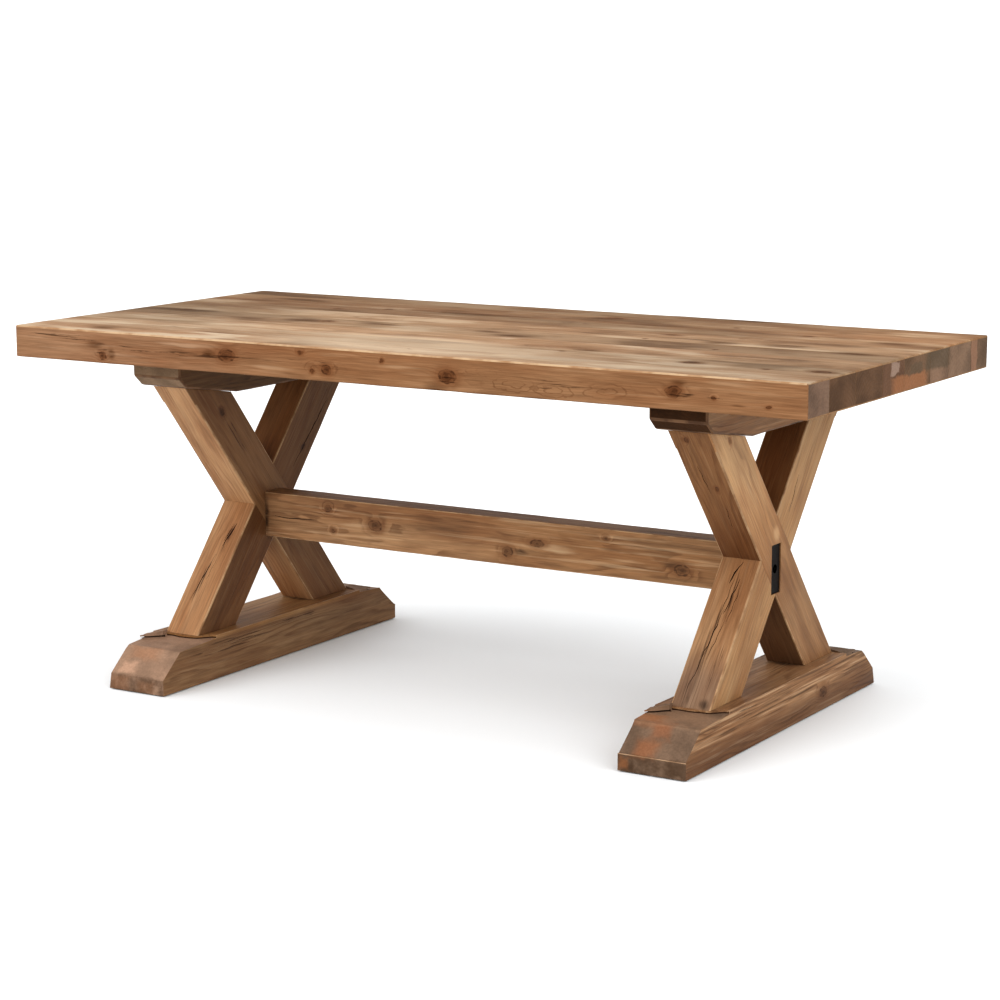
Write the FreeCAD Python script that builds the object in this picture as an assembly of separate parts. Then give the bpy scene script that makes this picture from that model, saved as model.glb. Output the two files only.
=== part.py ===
"""Trestle dining table: a plank top on two X trestles joined by a stretcher.

Frame: X runs along the table, Y across it, Z up. The origin is on the floor under the middle.
All sizes are millimetres.
"""
import FreeCAD, Part
import math
import os

from FreeCAD import Placement, Rotation, Vector

# ---------------------------------------------------------------- driving dimensions
TABLE_HEIGHT = 762.0
TOP_LENGTH = 1830.0
TOP_THICKNESS = 68.0
STAVE_WIDTHS = (93.0, 118.0, 125.0, 104.0, 131.0, 96.0, 118.0, 95.0)   # front to back

TONGUE_THICKNESS = 8.0
TONGUE_WIDTH = 30.0
TONGUE_END_GAP = 60.0          # the tongue's groove stops this far from the stave's end
TONGUE_CLEARANCE = 1.0         # groove deeper than the tongue, on each side

TRESTLE_X = 612.0              # middle of each trestle, from the middle of the table

ARM_WIDTH = 106.0              # in the plane of the X
ARM_THICKNESS = 86.0           # along the table
ARM_LEAN = 40.0                # degrees from the vertical
CROSSING_HEIGHT = 352.0

FOOT_LENGTH = 880.0
FOOT_THICKNESS = 144.0         # along the table
FOOT_TOP = 97.0                # height of the flat that carries the arms
STEP_DEPTH = 6.0               # the small step down in front of the arms
STEP_Y = 292.0
SHOULDER_Y = 378.0             # where the toe's chamfer starts
SHOULDER_DROP = 3.0            # fall from the step to the shoulder
TOE_HEIGHT = 36.0              # upright face at the very end of the foot

BEARER_LENGTH = 700.0
BEARER_THICKNESS = 124.0       # along the table
BEARER_END_HEIGHT = 35.0
BEARER_CHAMFER_HEIGHT = 22.0
BEARER_CHAMFER_RUN = 26.0
BEARER_MID_HEIGHT = 84.0
BEARER_FLAT_Y = 150.0          # the deep middle reaches this far either way

TENON_THICKNESS = 30.0         # along the table
TENON_WIDTH = 70.0             # across the table
TENON_LENGTH = 40.0            # into the foot
TENON_TOP_GAP = 20.0           # top tenon ends this far under the table top
MORTISE_GAP = 2.0              # room past a tenon's end

STRETCHER_HEIGHT = 100.0
STRETCHER_THICKNESS = 64.0
STRETCHER_BOTTOM = 274.0
STRETCHER_TENON_THICKNESS = 32.0
STRETCHER_TENON_HEIGHT = 92.0

PLATE_WIDTH = 42.0
PLATE_HEIGHT = 100.0
PLATE_THICKNESS = 5.0
PLATE_SINK = 3.0               # the plate's face is this far below the crossing's outer face

TIE_BOLT_DIAMETER = 10.0
TIE_BOLT_LENGTH = 115.0
TIE_BOLT_HEAD_DIAMETER = 18.0
TIE_BOLT_HEAD_HEIGHT = 4.0
BARREL_NUT_DIAMETER = 14.0
BARREL_NUT_LENGTH = 24.0
BARREL_NUT_FROM_TIP = 10.0     # nut's axis, back from the bolt's tip

COACH_DIAMETER = 10.0
COACH_LENGTH = 110.0
COACH_HEAD_FLATS = 17.0
COACH_HEAD_HEIGHT = 7.0
COACH_WASHER_DIAMETER = 24.0
COACH_WASHER_THICKNESS = 2.5
COACH_COUNTERBORE = 26.0
COACH_HEAD_INSET = 2.5         # head's face below the timber's face

FIXING_DIAMETER = 6.0
FIXING_LENGTH = 75.0
FIXING_HEAD_DIAMETER = 12.0
FIXING_HEAD_HEIGHT = 4.0
FIXING_GRIP = 39.0             # timber between the screw's head and the table top
FIXING_COUNTERBORE = 13.0
FIXING_SLOT = 14.0             # slotted across the table, so that the top can swell
FIXING_PLACES = (              # from the middle of the bearer, clear of the tongues
    (-50.0, -296.0), (50.0, -296.0), (0.0, -55.0),
    (0.0, 55.0), (-50.0, 296.0), (50.0, 296.0),
)

GLIDE_DIAMETER = 30.0
GLIDE_THICKNESS = 5.0
GLIDE_STAND = 2.5              # how far a glide stands out under the foot
GLIDE_PLACES = ((-42.0, -395.0), (42.0, -395.0), (-42.0, 395.0), (42.0, 395.0))

FIT = 0.05                     # radial room round a fastener

# ---------------------------------------------------------------- worked-out dimensions
TOP_WIDTH = sum(STAVE_WIDTHS)
TOP_UNDERSIDE = TABLE_HEIGHT - TOP_THICKNESS
LEAN = math.tan(math.radians(ARM_LEAN))
ARM_HALF_SECTION = ARM_WIDTH / (2.0 * math.cos(math.radians(ARM_LEAN)))
BEARER_MID_BOTTOM = TOP_UNDERSIDE - BEARER_MID_HEIGHT
STRETCHER_MIDDLE = STRETCHER_BOTTOM + STRETCHER_HEIGHT / 2.0
INNER_FACE = TRESTLE_X - ARM_THICKNESS / 2.0
OUTER_FACE = TRESTLE_X + ARM_THICKNESS / 2.0
PLATE_OUTER = OUTER_FACE - PLATE_SINK
PLATE_INNER = PLATE_OUTER - PLATE_THICKNESS
STRETCHER_TENON_END = PLATE_INNER - 1.0
TOP_TENON_CENTRE = LEAN * (BEARER_MID_BOTTOM + 8.0 - CROSSING_HEIGHT)
BOTTOM_TENON_CENTRE = LEAN * (CROSSING_HEIGHT - FOOT_TOP)


# ---------------------------------------------------------------- shape helpers
def block(x_low, x_high, y_low, y_high, z_low, z_high):
    """A box between two corners."""
    return Part.makeBox(x_high - x_low, y_high - y_low, z_high - z_low, Vector(x_low, y_low, z_low))


def block_at(x_mid, y_mid, size_x, size_y, z_low, z_high):
    """An upright box centred on a place in plan."""
    return block(x_mid - size_x / 2.0, x_mid + size_x / 2.0,
                 y_mid - size_y / 2.0, y_mid + size_y / 2.0, z_low, z_high)


def profile_yz(points, x_low, x_high):
    """A prism along X over an outline of (y, z) points."""
    corners = [Vector(x_low, y, z) for y, z in points]
    wire = Part.makePolygon(corners + corners[:1])
    return Part.Face(wire).extrude(Vector(x_high - x_low, 0, 0))


def upright_rod(x, y, z_low, z_high, diameter):
    """A cylinder along Z."""
    return Part.makeCylinder(diameter / 2.0, z_high - z_low, Vector(x, y, z_low), Vector(0, 0, 1))


def long_rod(x_low, x_high, y, z, diameter):
    """A cylinder along X."""
    return Part.makeCylinder(diameter / 2.0, x_high - x_low, Vector(x_low, y, z), Vector(1, 0, 0))


def slot_hole(x, y, z_low, z_high, diameter, length):
    """A slotted hole along Z, longer across the table."""
    half_run = (length - diameter) / 2.0
    middle = block(x - diameter / 2.0, x + diameter / 2.0, y - half_run, y + half_run, z_low, z_high)
    ends = [upright_rod(x, y + side * half_run, z_low, z_high, diameter) for side in (-1, 1)]
    return middle.fuse(ends)


def mirrored_outline(half):
    """A closed outline from one half's points, mirrored in y."""
    return half + [(-y, z) for y, z in reversed(half)]


def turned_about_z(shape):
    """The same shape on the other trestle: half a turn about the table's middle."""
    copy = shape.copy()
    copy.rotate(Vector(0, 0, 0), Vector(0, 0, 1), 180.0)
    return copy


# ---------------------------------------------------------------- the table top
def stave_edges():
    """The y of each joint between staves, front edge and back edge included."""
    edges = [-TOP_WIDTH / 2.0]
    for width in STAVE_WIDTHS:
        edges.append(edges[-1] + width)
    return edges


def tongue_at(y, half_width):
    """The space of a tongue, or of its groove, in the joint at y."""
    mid = TABLE_HEIGHT - TOP_THICKNESS / 2.0
    half_length = TOP_LENGTH / 2.0 - TONGUE_END_GAP
    return block(-half_length, half_length, y - half_width, y + half_width,
                 mid - TONGUE_THICKNESS / 2.0, mid + TONGUE_THICKNESS / 2.0)


def make_top():
    """Eight staves, grooved for seven tongues and drilled for the fixing screws."""
    edges = stave_edges()
    joints = edges[1:-1]
    groove_half = TONGUE_WIDTH / 2.0 + TONGUE_CLEARANCE
    pilots = [upright_rod(x, y, TOP_UNDERSIDE, fixing_tip() + 1.0, FIXING_DIAMETER + 2.0 * FIT)
              for x, y in fixing_places()]
    parts = {}
    for number, (low, high) in enumerate(zip(edges[:-1], edges[1:]), start=1):
        stave = block(-TOP_LENGTH / 2.0, TOP_LENGTH / 2.0, low, high, TOP_UNDERSIDE, TABLE_HEIGHT)
        for joint in joints:
            if joint in (low, high):
                stave = stave.cut(tongue_at(joint, groove_half))
        for pilot in pilots:
            if stave.common(pilot).Volume > 0.0:
                stave = stave.cut(pilot)
        parts["top_stave_%d" % number] = [stave]
    parts["top_tongues"] = [tongue_at(joint, TONGUE_WIDTH / 2.0) for joint in joints]
    return parts


# ---------------------------------------------------------------- feet and bearers
def foot_blank():
    """The outline of the foot on the right trestle, before its mortises."""
    end = FOOT_LENGTH / 2.0
    shoulder = FOOT_TOP - STEP_DEPTH - SHOULDER_DROP
    half = [(end, GLIDE_STAND), (end, TOE_HEIGHT), (SHOULDER_Y, shoulder),
            (STEP_Y, FOOT_TOP - STEP_DEPTH), (STEP_Y, FOOT_TOP)]
    return profile_yz(mirrored_outline(half), TRESTLE_X - FOOT_THICKNESS / 2.0,
                      TRESTLE_X + FOOT_THICKNESS / 2.0)


def bearer_blank():
    """The outline of the bearer on the right trestle, before its mortises."""
    end = BEARER_LENGTH / 2.0
    chamfer_end = end - BEARER_CHAMFER_RUN
    half = [(end, TOP_UNDERSIDE), (end, TOP_UNDERSIDE - BEARER_END_HEIGHT),
            (chamfer_end, TOP_UNDERSIDE - BEARER_END_HEIGHT - BEARER_CHAMFER_HEIGHT),
            (BEARER_FLAT_Y, BEARER_MID_BOTTOM)]
    return profile_yz(mirrored_outline(half), TRESTLE_X - BEARER_THICKNESS / 2.0,
                      TRESTLE_X + BEARER_THICKNESS / 2.0)


def glide_centres():
    """Where the glides of the right foot are."""
    return [(TRESTLE_X + x, y) for x, y in GLIDE_PLACES]


def make_foot():
    """Right foot with mortises for the arms, counterbored screw holes and glide seats."""
    foot = foot_blank()
    for side in (-1, 1):
        y = side * BOTTOM_TENON_CENTRE
        foot = foot.cut(block_at(TRESTLE_X, y, TENON_THICKNESS, TENON_WIDTH,
                                 FOOT_TOP - TENON_LENGTH - MORTISE_GAP, FOOT_TOP + 1.0))
        foot = foot.cut(upright_rod(TRESTLE_X, y, 0.0, FOOT_TOP, COACH_DIAMETER + 1.0))
        foot = foot.cut(upright_rod(TRESTLE_X, y, 0.0, foot_washer_top(), COACH_COUNTERBORE))
    for x, y in glide_centres():
        foot = foot.cut(upright_rod(x, y, 0.0, GLIDE_THICKNESS, GLIDE_DIAMETER + 2.0 * FIT))
    return foot


def make_bearer():
    """Right bearer with mortises for the arms and holes for its screws."""
    bearer = bearer_blank()
    for side in (-1, 1):
        y = side * TOP_TENON_CENTRE
        bearer = bearer.cut(block_at(TRESTLE_X, y, TENON_THICKNESS, TENON_WIDTH, 0.0,
                                     TOP_UNDERSIDE - TENON_TOP_GAP + MORTISE_GAP))
        bearer = bearer.cut(upright_rod(TRESTLE_X, y, BEARER_MID_BOTTOM, TOP_UNDERSIDE,
                                        COACH_DIAMETER + 1.0))
        bearer = bearer.cut(upright_rod(TRESTLE_X, y, bearer_washer_bottom(), TOP_UNDERSIDE,
                                        COACH_COUNTERBORE))
    for x, y in FIXING_PLACES:
        bearer = bearer.cut(slot_hole(TRESTLE_X + x, y, fixing_head(), TOP_UNDERSIDE,
                                      FIXING_DIAMETER + 1.0, FIXING_SLOT))
        bearer = bearer.cut(upright_rod(TRESTLE_X + x, y, 0.0, fixing_head(), FIXING_COUNTERBORE))
    return bearer


# ---------------------------------------------------------------- the crossed arms
def arm_band(lean_sign, x_low, x_high):
    """The long parallelogram of one arm, from the foot to the table top, between two x."""
    def section(z):
        middle = lean_sign * LEAN * (z - CROSSING_HEIGHT)
        return (middle - ARM_HALF_SECTION, z), (middle + ARM_HALF_SECTION, z)
    low_left, low_right = section(FOOT_TOP)
    high_left, high_right = section(TOP_UNDERSIDE)
    return profile_yz([low_left, low_right, high_right, high_left], x_low, x_high)


def make_arm(lean_sign):
    """One arm of the right trestle. lean_sign -1 leans from top front to bottom back."""
    inner = TRESTLE_X - ARM_THICKNESS / 2.0
    outer = TRESTLE_X + ARM_THICKNESS / 2.0
    arm = arm_band(lean_sign, inner, outer).cut(bearer_blank())
    # The bearer's outline cuts the band in two where it passes over its back: keep the long piece.
    arm = max(arm.Solids, key=lambda solid: solid.Volume)
    top_y = lean_sign * TOP_TENON_CENTRE
    bottom_y = -lean_sign * BOTTOM_TENON_CENTRE
    top_tenon = block_at(TRESTLE_X, top_y, TENON_THICKNESS, TENON_WIDTH,
                         BEARER_MID_BOTTOM - 4.0, TOP_UNDERSIDE - TENON_TOP_GAP)
    bottom_tenon = block_at(TRESTLE_X, bottom_y, TENON_THICKNESS, TENON_WIDTH,
                            FOOT_TOP - TENON_LENGTH, FOOT_TOP + 4.0)
    arm = arm.fuse([top_tenon, bottom_tenon]).removeSplitter()
    # Half lap: the front-top arm keeps the outer half of the crossing, the other the inner half.
    if lean_sign < 0:
        lap = arm_band(-lean_sign, inner, TRESTLE_X)
    else:
        lap = arm_band(-lean_sign, TRESTLE_X, outer)
    arm = arm.cut(lap)
    arm = arm.cut(crossing_mortise())
    pilot = COACH_DIAMETER + 2.0 * FIT
    arm = arm.cut(upright_rod(TRESTLE_X, top_y, bearer_screw_tip(), TOP_UNDERSIDE, pilot))
    arm = arm.cut(upright_rod(TRESTLE_X, bottom_y, 0.0, foot_screw_tip(), pilot))
    return arm


def crossing_mortise():
    """The through mortise of the stretcher's tenon, with the plate's recess."""
    tenon = block(INNER_FACE - 1.0, OUTER_FACE + 1.0,
                  -STRETCHER_TENON_THICKNESS / 2.0, STRETCHER_TENON_THICKNESS / 2.0,
                  STRETCHER_MIDDLE - STRETCHER_TENON_HEIGHT / 2.0,
                  STRETCHER_MIDDLE + STRETCHER_TENON_HEIGHT / 2.0)
    recess = block(PLATE_INNER, OUTER_FACE + 1.0, -PLATE_WIDTH / 2.0, PLATE_WIDTH / 2.0,
                   STRETCHER_MIDDLE - PLATE_HEIGHT / 2.0, STRETCHER_MIDDLE + PLATE_HEIGHT / 2.0)
    return tenon.fuse(recess)


# ---------------------------------------------------------------- stretcher and its ties
def make_stretcher():
    """The stretcher with a tenon at each end, drilled for the tie bolts and barrel nuts."""
    body = block(-INNER_FACE, INNER_FACE, -STRETCHER_THICKNESS / 2.0, STRETCHER_THICKNESS / 2.0,
                 STRETCHER_BOTTOM, STRETCHER_BOTTOM + STRETCHER_HEIGHT)
    tenon = block(-STRETCHER_TENON_END, STRETCHER_TENON_END,
                  -STRETCHER_TENON_THICKNESS / 2.0, STRETCHER_TENON_THICKNESS / 2.0,
                  STRETCHER_MIDDLE - STRETCHER_TENON_HEIGHT / 2.0,
                  STRETCHER_MIDDLE + STRETCHER_TENON_HEIGHT / 2.0)
    rail = body.fuse(tenon).removeSplitter()
    nut_x = barrel_nut_x()
    bolt_hole = long_rod(nut_x - 20.0, STRETCHER_TENON_END, 0.0, STRETCHER_MIDDLE, TIE_BOLT_DIAMETER + 1.0)
    nut_hole = upright_rod(nut_x, 0.0, STRETCHER_BOTTOM, STRETCHER_MIDDLE + BARREL_NUT_LENGTH / 2.0,
                           BARREL_NUT_DIAMETER + 2.0 * FIT)
    for hole in (bolt_hole, nut_hole):
        rail = rail.cut(hole).cut(turned_about_z(hole))
    return rail


def make_plate():
    """Right tie plate, countersunk for its bolt."""
    plate = block(PLATE_INNER, PLATE_OUTER, -PLATE_WIDTH / 2.0, PLATE_WIDTH / 2.0,
                  STRETCHER_MIDDLE - PLATE_HEIGHT / 2.0, STRETCHER_MIDDLE + PLATE_HEIGHT / 2.0)
    hole = long_rod(PLATE_INNER, PLATE_OUTER, 0.0, STRETCHER_MIDDLE, TIE_BOLT_DIAMETER + 2.0 * FIT)
    return plate.cut(hole).cut(bolt_head(FIT))


def bolt_head(extra):
    """The countersunk head of the right tie bolt, grown by some radial room."""
    return Part.makeCone(TIE_BOLT_DIAMETER / 2.0 + extra, TIE_BOLT_HEAD_DIAMETER / 2.0 + extra,
                         TIE_BOLT_HEAD_HEIGHT, Vector(PLATE_OUTER - TIE_BOLT_HEAD_HEIGHT, 0, STRETCHER_MIDDLE),
                         Vector(1, 0, 0))


def make_tie_bolt():
    """Right tie bolt, with a hexagon socket in its head."""
    shank = long_rod(PLATE_OUTER - TIE_BOLT_LENGTH, PLATE_OUTER - TIE_BOLT_HEAD_HEIGHT, 0.0,
                     STRETCHER_MIDDLE, TIE_BOLT_DIAMETER)
    bolt = shank.fuse(bolt_head(0.0))
    socket = hexagon(6.0, 3.0)
    socket.Placement = Placement(Vector(PLATE_OUTER - 3.0, 0, STRETCHER_MIDDLE),
                                 Rotation(Vector(0, 1, 0), 90.0))
    return bolt.cut(socket)


def barrel_nut_x():
    """Where the right barrel nut's axis is."""
    return PLATE_OUTER - TIE_BOLT_LENGTH + BARREL_NUT_FROM_TIP


def make_barrel_nut():
    """Right barrel nut, upright, cross-drilled for the tie bolt."""
    nut = upright_rod(barrel_nut_x(), 0.0, STRETCHER_MIDDLE - BARREL_NUT_LENGTH / 2.0,
                      STRETCHER_MIDDLE + BARREL_NUT_LENGTH / 2.0, BARREL_NUT_DIAMETER)
    thread = long_rod(barrel_nut_x() - BARREL_NUT_DIAMETER, barrel_nut_x() + BARREL_NUT_DIAMETER, 0.0,
                      STRETCHER_MIDDLE, TIE_BOLT_DIAMETER + 2.0 * FIT)
    return nut.cut(thread)


# ---------------------------------------------------------------- fasteners
def hexagon(flats, height):
    """A hexagonal prism on the origin, across-flats size given."""
    radius = flats / math.sqrt(3.0)
    corners = [Vector(radius * math.cos(math.radians(60.0 * turn)),
                      radius * math.sin(math.radians(60.0 * turn)), 0) for turn in range(6)]
    return Part.Face(Part.makePolygon(corners + corners[:1])).extrude(Vector(0, 0, height))


def foot_washer_top():
    """Height at which the coach screws' washers bear under the feet."""
    return GLIDE_STAND + COACH_HEAD_INSET + COACH_HEAD_HEIGHT + COACH_WASHER_THICKNESS


def foot_screw_tip():
    """Height that the foot's coach screws reach."""
    return foot_washer_top() - COACH_WASHER_THICKNESS + COACH_LENGTH


def bearer_washer_bottom():
    """Height at which the coach screws' washers bear on the bearers."""
    return TOP_UNDERSIDE - COACH_HEAD_INSET - COACH_HEAD_HEIGHT - COACH_WASHER_THICKNESS


def bearer_screw_tip():
    """Height that the bearer's coach screws reach down to."""
    return bearer_washer_bottom() + COACH_WASHER_THICKNESS - COACH_LENGTH


def fixing_head():
    """Height of the bearing face under the fixing screws' heads."""
    return TOP_UNDERSIDE - FIXING_GRIP


def fixing_tip():
    """Height that the fixing screws reach in the table top."""
    return fixing_head() + FIXING_LENGTH


def fixing_places():
    """Where the fixing screws of both bearers are."""
    right = [(TRESTLE_X + x, y) for x, y in FIXING_PLACES]
    return right + [(-x, -y) for x, y in right]


def coach_screw(x, y, head_z, up):
    """A coach screw with its head at head_z, pointing up or down."""
    head = hexagon(COACH_HEAD_FLATS, COACH_HEAD_HEIGHT)
    shank = Part.makeCylinder(COACH_DIAMETER / 2.0, COACH_LENGTH, Vector(0, 0, COACH_HEAD_HEIGHT))
    screw = head.fuse(shank)
    if up:
        screw.translate(Vector(x, y, head_z))
    else:
        screw.rotate(Vector(0, 0, 0), Vector(1, 0, 0), 180.0)
        screw.translate(Vector(x, y, head_z))
    return screw


def coach_washer(x, y, z_low):
    """A flat washer round a coach screw."""
    disc = upright_rod(x, y, z_low, z_low + COACH_WASHER_THICKNESS, COACH_WASHER_DIAMETER)
    return disc.cut(upright_rod(x, y, z_low, z_low + COACH_WASHER_THICKNESS, COACH_DIAMETER + 2.0 * FIT))


def fixing_screw(x, y):
    """A screw from a bearer up into the table top."""
    head = upright_rod(x, y, fixing_head() - FIXING_HEAD_HEIGHT, fixing_head(), FIXING_HEAD_DIAMETER)
    return head.fuse(upright_rod(x, y, fixing_head(), fixing_tip(), FIXING_DIAMETER))


def glide(x, y):
    """A nylon glide with a rounded lower edge."""
    disc = upright_rod(x, y, 0.0, GLIDE_THICKNESS, GLIDE_DIAMETER)
    rim = [edge for edge in disc.Edges if edge.Closed and abs(edge.CenterOfMass.z) < 0.01]
    return disc.makeFillet(1.0, rim)


def make_fasteners():
    """All the screws, washers and glides of both trestles, by node name."""
    screws = []
    washers = []
    for side in (-1, 1):
        bottom_y = side * BOTTOM_TENON_CENTRE
        top_y = side * TOP_TENON_CENTRE
        screws.append(coach_screw(TRESTLE_X, bottom_y, GLIDE_STAND + COACH_HEAD_INSET, True))
        screws.append(coach_screw(TRESTLE_X, top_y, TOP_UNDERSIDE - COACH_HEAD_INSET, False))
        washers.append(coach_washer(TRESTLE_X, bottom_y, foot_washer_top() - COACH_WASHER_THICKNESS))
        washers.append(coach_washer(TRESTLE_X, top_y, bearer_washer_bottom()))
    glides = [glide(x, y) for x, y in glide_centres()]
    return {
        "coach_screws": both_trestles(screws),
        "coach_washers": both_trestles(washers),
        "floor_glides": both_trestles(glides),
        "tie_bolts": both_trestles([make_tie_bolt()]),
        "barrel_nuts": both_trestles([make_barrel_nut()]),
        "top_fixing_screws": [fixing_screw(x, y) for x, y in fixing_places()],
    }


def both_trestles(shapes):
    """The right trestle's shapes and their twins on the left."""
    return shapes + [turned_about_z(shape) for shape in shapes]


# ---------------------------------------------------------------- the whole table
def make_table():
    """Every node of the table, as lists of solids by node name."""
    parts = make_top()
    trestle = {
        "bearer_%s": make_bearer(),
        "foot_%s": make_foot(),
        "arm_%s_a": make_arm(-1),
        "arm_%s_b": make_arm(1),
        "tie_plate_%s": make_plate(),
    }
    for name, shape in trestle.items():
        parts[name % "right"] = [shape]
        parts[name % "left"] = [turned_about_z(shape)]
    parts["stretcher"] = [make_stretcher()]
    parts.update(make_fasteners())
    return parts


def main():
    """Write one STEP file per node."""
    os.makedirs("parts", exist_ok=True)
    for name, shapes in make_table().items():
        solids = [solid for shape in shapes for solid in shape.Solids]
        shape = solids[0] if len(solids) == 1 else Part.makeCompound(solids)
        shape.exportStep("parts/%s.step" % name)
        box = shape.BoundBox
        print("%-18s solids %2d valid %s volume %10.0f z %6.1f to %6.1f"
              % (name, len(solids), shape.isValid(), shape.Volume, box.ZMin, box.ZMax))


main()
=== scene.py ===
# %% [markdown]
# # A trestle dining table in reclaimed pine
#
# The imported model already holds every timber, joint and screw of the table at its real size.
# This lesson dresses it: each timber that can be seen is made again in the same place, with worn
# arrises, drying cracks, knots and grain, and the hidden screws and glides get their own finishes.
# All sizes are in metres, X runs along the table, Y across it and Z up.

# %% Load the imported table
import math
import random

import bmesh
import bpy
from mathutils import Euler, Matrix, Vector


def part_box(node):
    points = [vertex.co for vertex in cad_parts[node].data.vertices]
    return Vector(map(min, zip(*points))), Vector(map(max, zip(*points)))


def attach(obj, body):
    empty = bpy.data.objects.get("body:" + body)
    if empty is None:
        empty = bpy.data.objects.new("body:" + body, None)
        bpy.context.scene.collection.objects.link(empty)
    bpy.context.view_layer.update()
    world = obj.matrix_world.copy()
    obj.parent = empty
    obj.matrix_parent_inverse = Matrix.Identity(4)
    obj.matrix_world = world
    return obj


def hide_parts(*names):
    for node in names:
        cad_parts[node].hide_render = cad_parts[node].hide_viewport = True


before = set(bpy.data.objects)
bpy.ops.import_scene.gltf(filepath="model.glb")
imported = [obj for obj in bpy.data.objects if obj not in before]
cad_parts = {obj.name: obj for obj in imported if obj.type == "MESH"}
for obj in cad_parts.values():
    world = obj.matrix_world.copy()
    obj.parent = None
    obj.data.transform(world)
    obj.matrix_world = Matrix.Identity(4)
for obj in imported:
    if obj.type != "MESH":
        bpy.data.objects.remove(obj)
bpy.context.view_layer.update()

# %% Places that several pieces share
END_X, FRONT_Y, TOP_Z = 0.915, -0.440, 0.762          # right end, front and upper face of the top
TRESTLE_X, CROSSING_Z = 0.612, 0.352                  # middle of a trestle, and where its arms cross
ARM_IN_X, ARM_OUT_X = 0.569, 0.655                    # an arm's faces towards the middle and the end
FOOT_TOP_Z, BEARER_BOTTOM_Z = 0.097, 0.610            # what an arm stands on, and what it carries
ARM_FOOT_Y, ARM_HEAD_Y = 0.21397, 0.22320             # middle of an arm where it meets them
NEAR = 1e-4                                           # places closer than this are the same
BOTH = (-1, 1)                                        # front and back, or left and right
print("trestles at", TRESTLE_X, "and", -TRESTLE_X)

# %% [markdown]
# ## The camera
#
# The table stands in a white room, seen from the front right at a little under twice its height.
# The lens is long, so the far trestle is hardly smaller than the near one. The camera could be made
# to track a point, but setting its place and two turns keeps it level, which is how a tripod holds
# it, and is easy to change by a hair.

# %% Camera
sight = bpy.data.cameras.new("sight")
sight.sensor_width = 36.0
sight.lens = 94.45
sight.clip_end = 60.0
camera = bpy.data.objects.new("camera", sight)
camera.location = (2.8169, -4.6406, 1.3678)
camera.rotation_euler = (math.pi / 2 - 0.176, 0.0, 0.543)
bpy.context.scene.collection.objects.link(camera)
bpy.context.scene.camera = camera
print("camera", [round(value, 3) for value in camera.location])

# %% [markdown]
# ## Tools for shaders
#
# A finish is a tree of nodes. They could be added and linked one by one, but grain is worked out
# with numbers, and numbers read best as sums. So a small class wraps a socket of the tree and adds a
# Math node for each +, -, * or /. Every other node comes from one method, which sets the node's own
# settings first and then its sockets.


# %% A socket that can be used like a number
class Wire:
    """An output socket in a finish, which can be added, multiplied and so on."""

    def __init__(self, finish, socket):
        self.finish = finish
        self.socket = socket

    def math(self, operation, *others):
        return self.finish.node("ShaderNodeMath", {"operation": operation}, dict(enumerate((self,) + others)))

    def vector(self, operation, *others, output=None):
        sockets = dict(enumerate((self,) + others))
        return self.finish.node("ShaderNodeVectorMath", {"operation": operation}, sockets, output)

    def __add__(self, other):
        return self.math("ADD", other)

    def __sub__(self, other):
        return self.math("SUBTRACT", other)

    def __rsub__(self, other):
        return self.finish.node("ShaderNodeMath", {"operation": "SUBTRACT"}, {0: other, 1: self})

    def __mul__(self, other):
        return self.math("MULTIPLY", other)

    def __truediv__(self, other):
        return self.math("DIVIDE", other)

    def __rtruediv__(self, other):
        return self.finish.node("ShaderNodeMath", {"operation": "DIVIDE"}, {0: other, 1: self})

    __radd__ = __add__
    __rmul__ = __mul__

    def fade(self, low, high):
        """0 below low, 1 above high and a soft step between; low may be the larger."""
        return self.finish.node("ShaderNodeMapRange", {"interpolation_type": "SMOOTHSTEP"},
                                {"Value": self, "From Min": low, "From Max": high})

    def shift(self, vector):
        return self.vector("ADD", vector)

    def stretch(self, vector):
        return self.vector("MULTIPLY", vector)

    def length(self):
        return self.vector("LENGTH", output="Value")

    def axis(self, name):
        return self.finish.node("ShaderNodeSeparateXYZ", {}, {"Vector": self}, name)

    def counted_from(self, centre, sizes):
        """The place counted from a mark's middle, in the mark's own sizes along X, Y and Z."""
        scale = tuple(1.0 / size for size in sizes)
        return self.vector("MULTIPLY_ADD", scale, tuple(-c * s for c, s in zip(centre, scale)))


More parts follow.
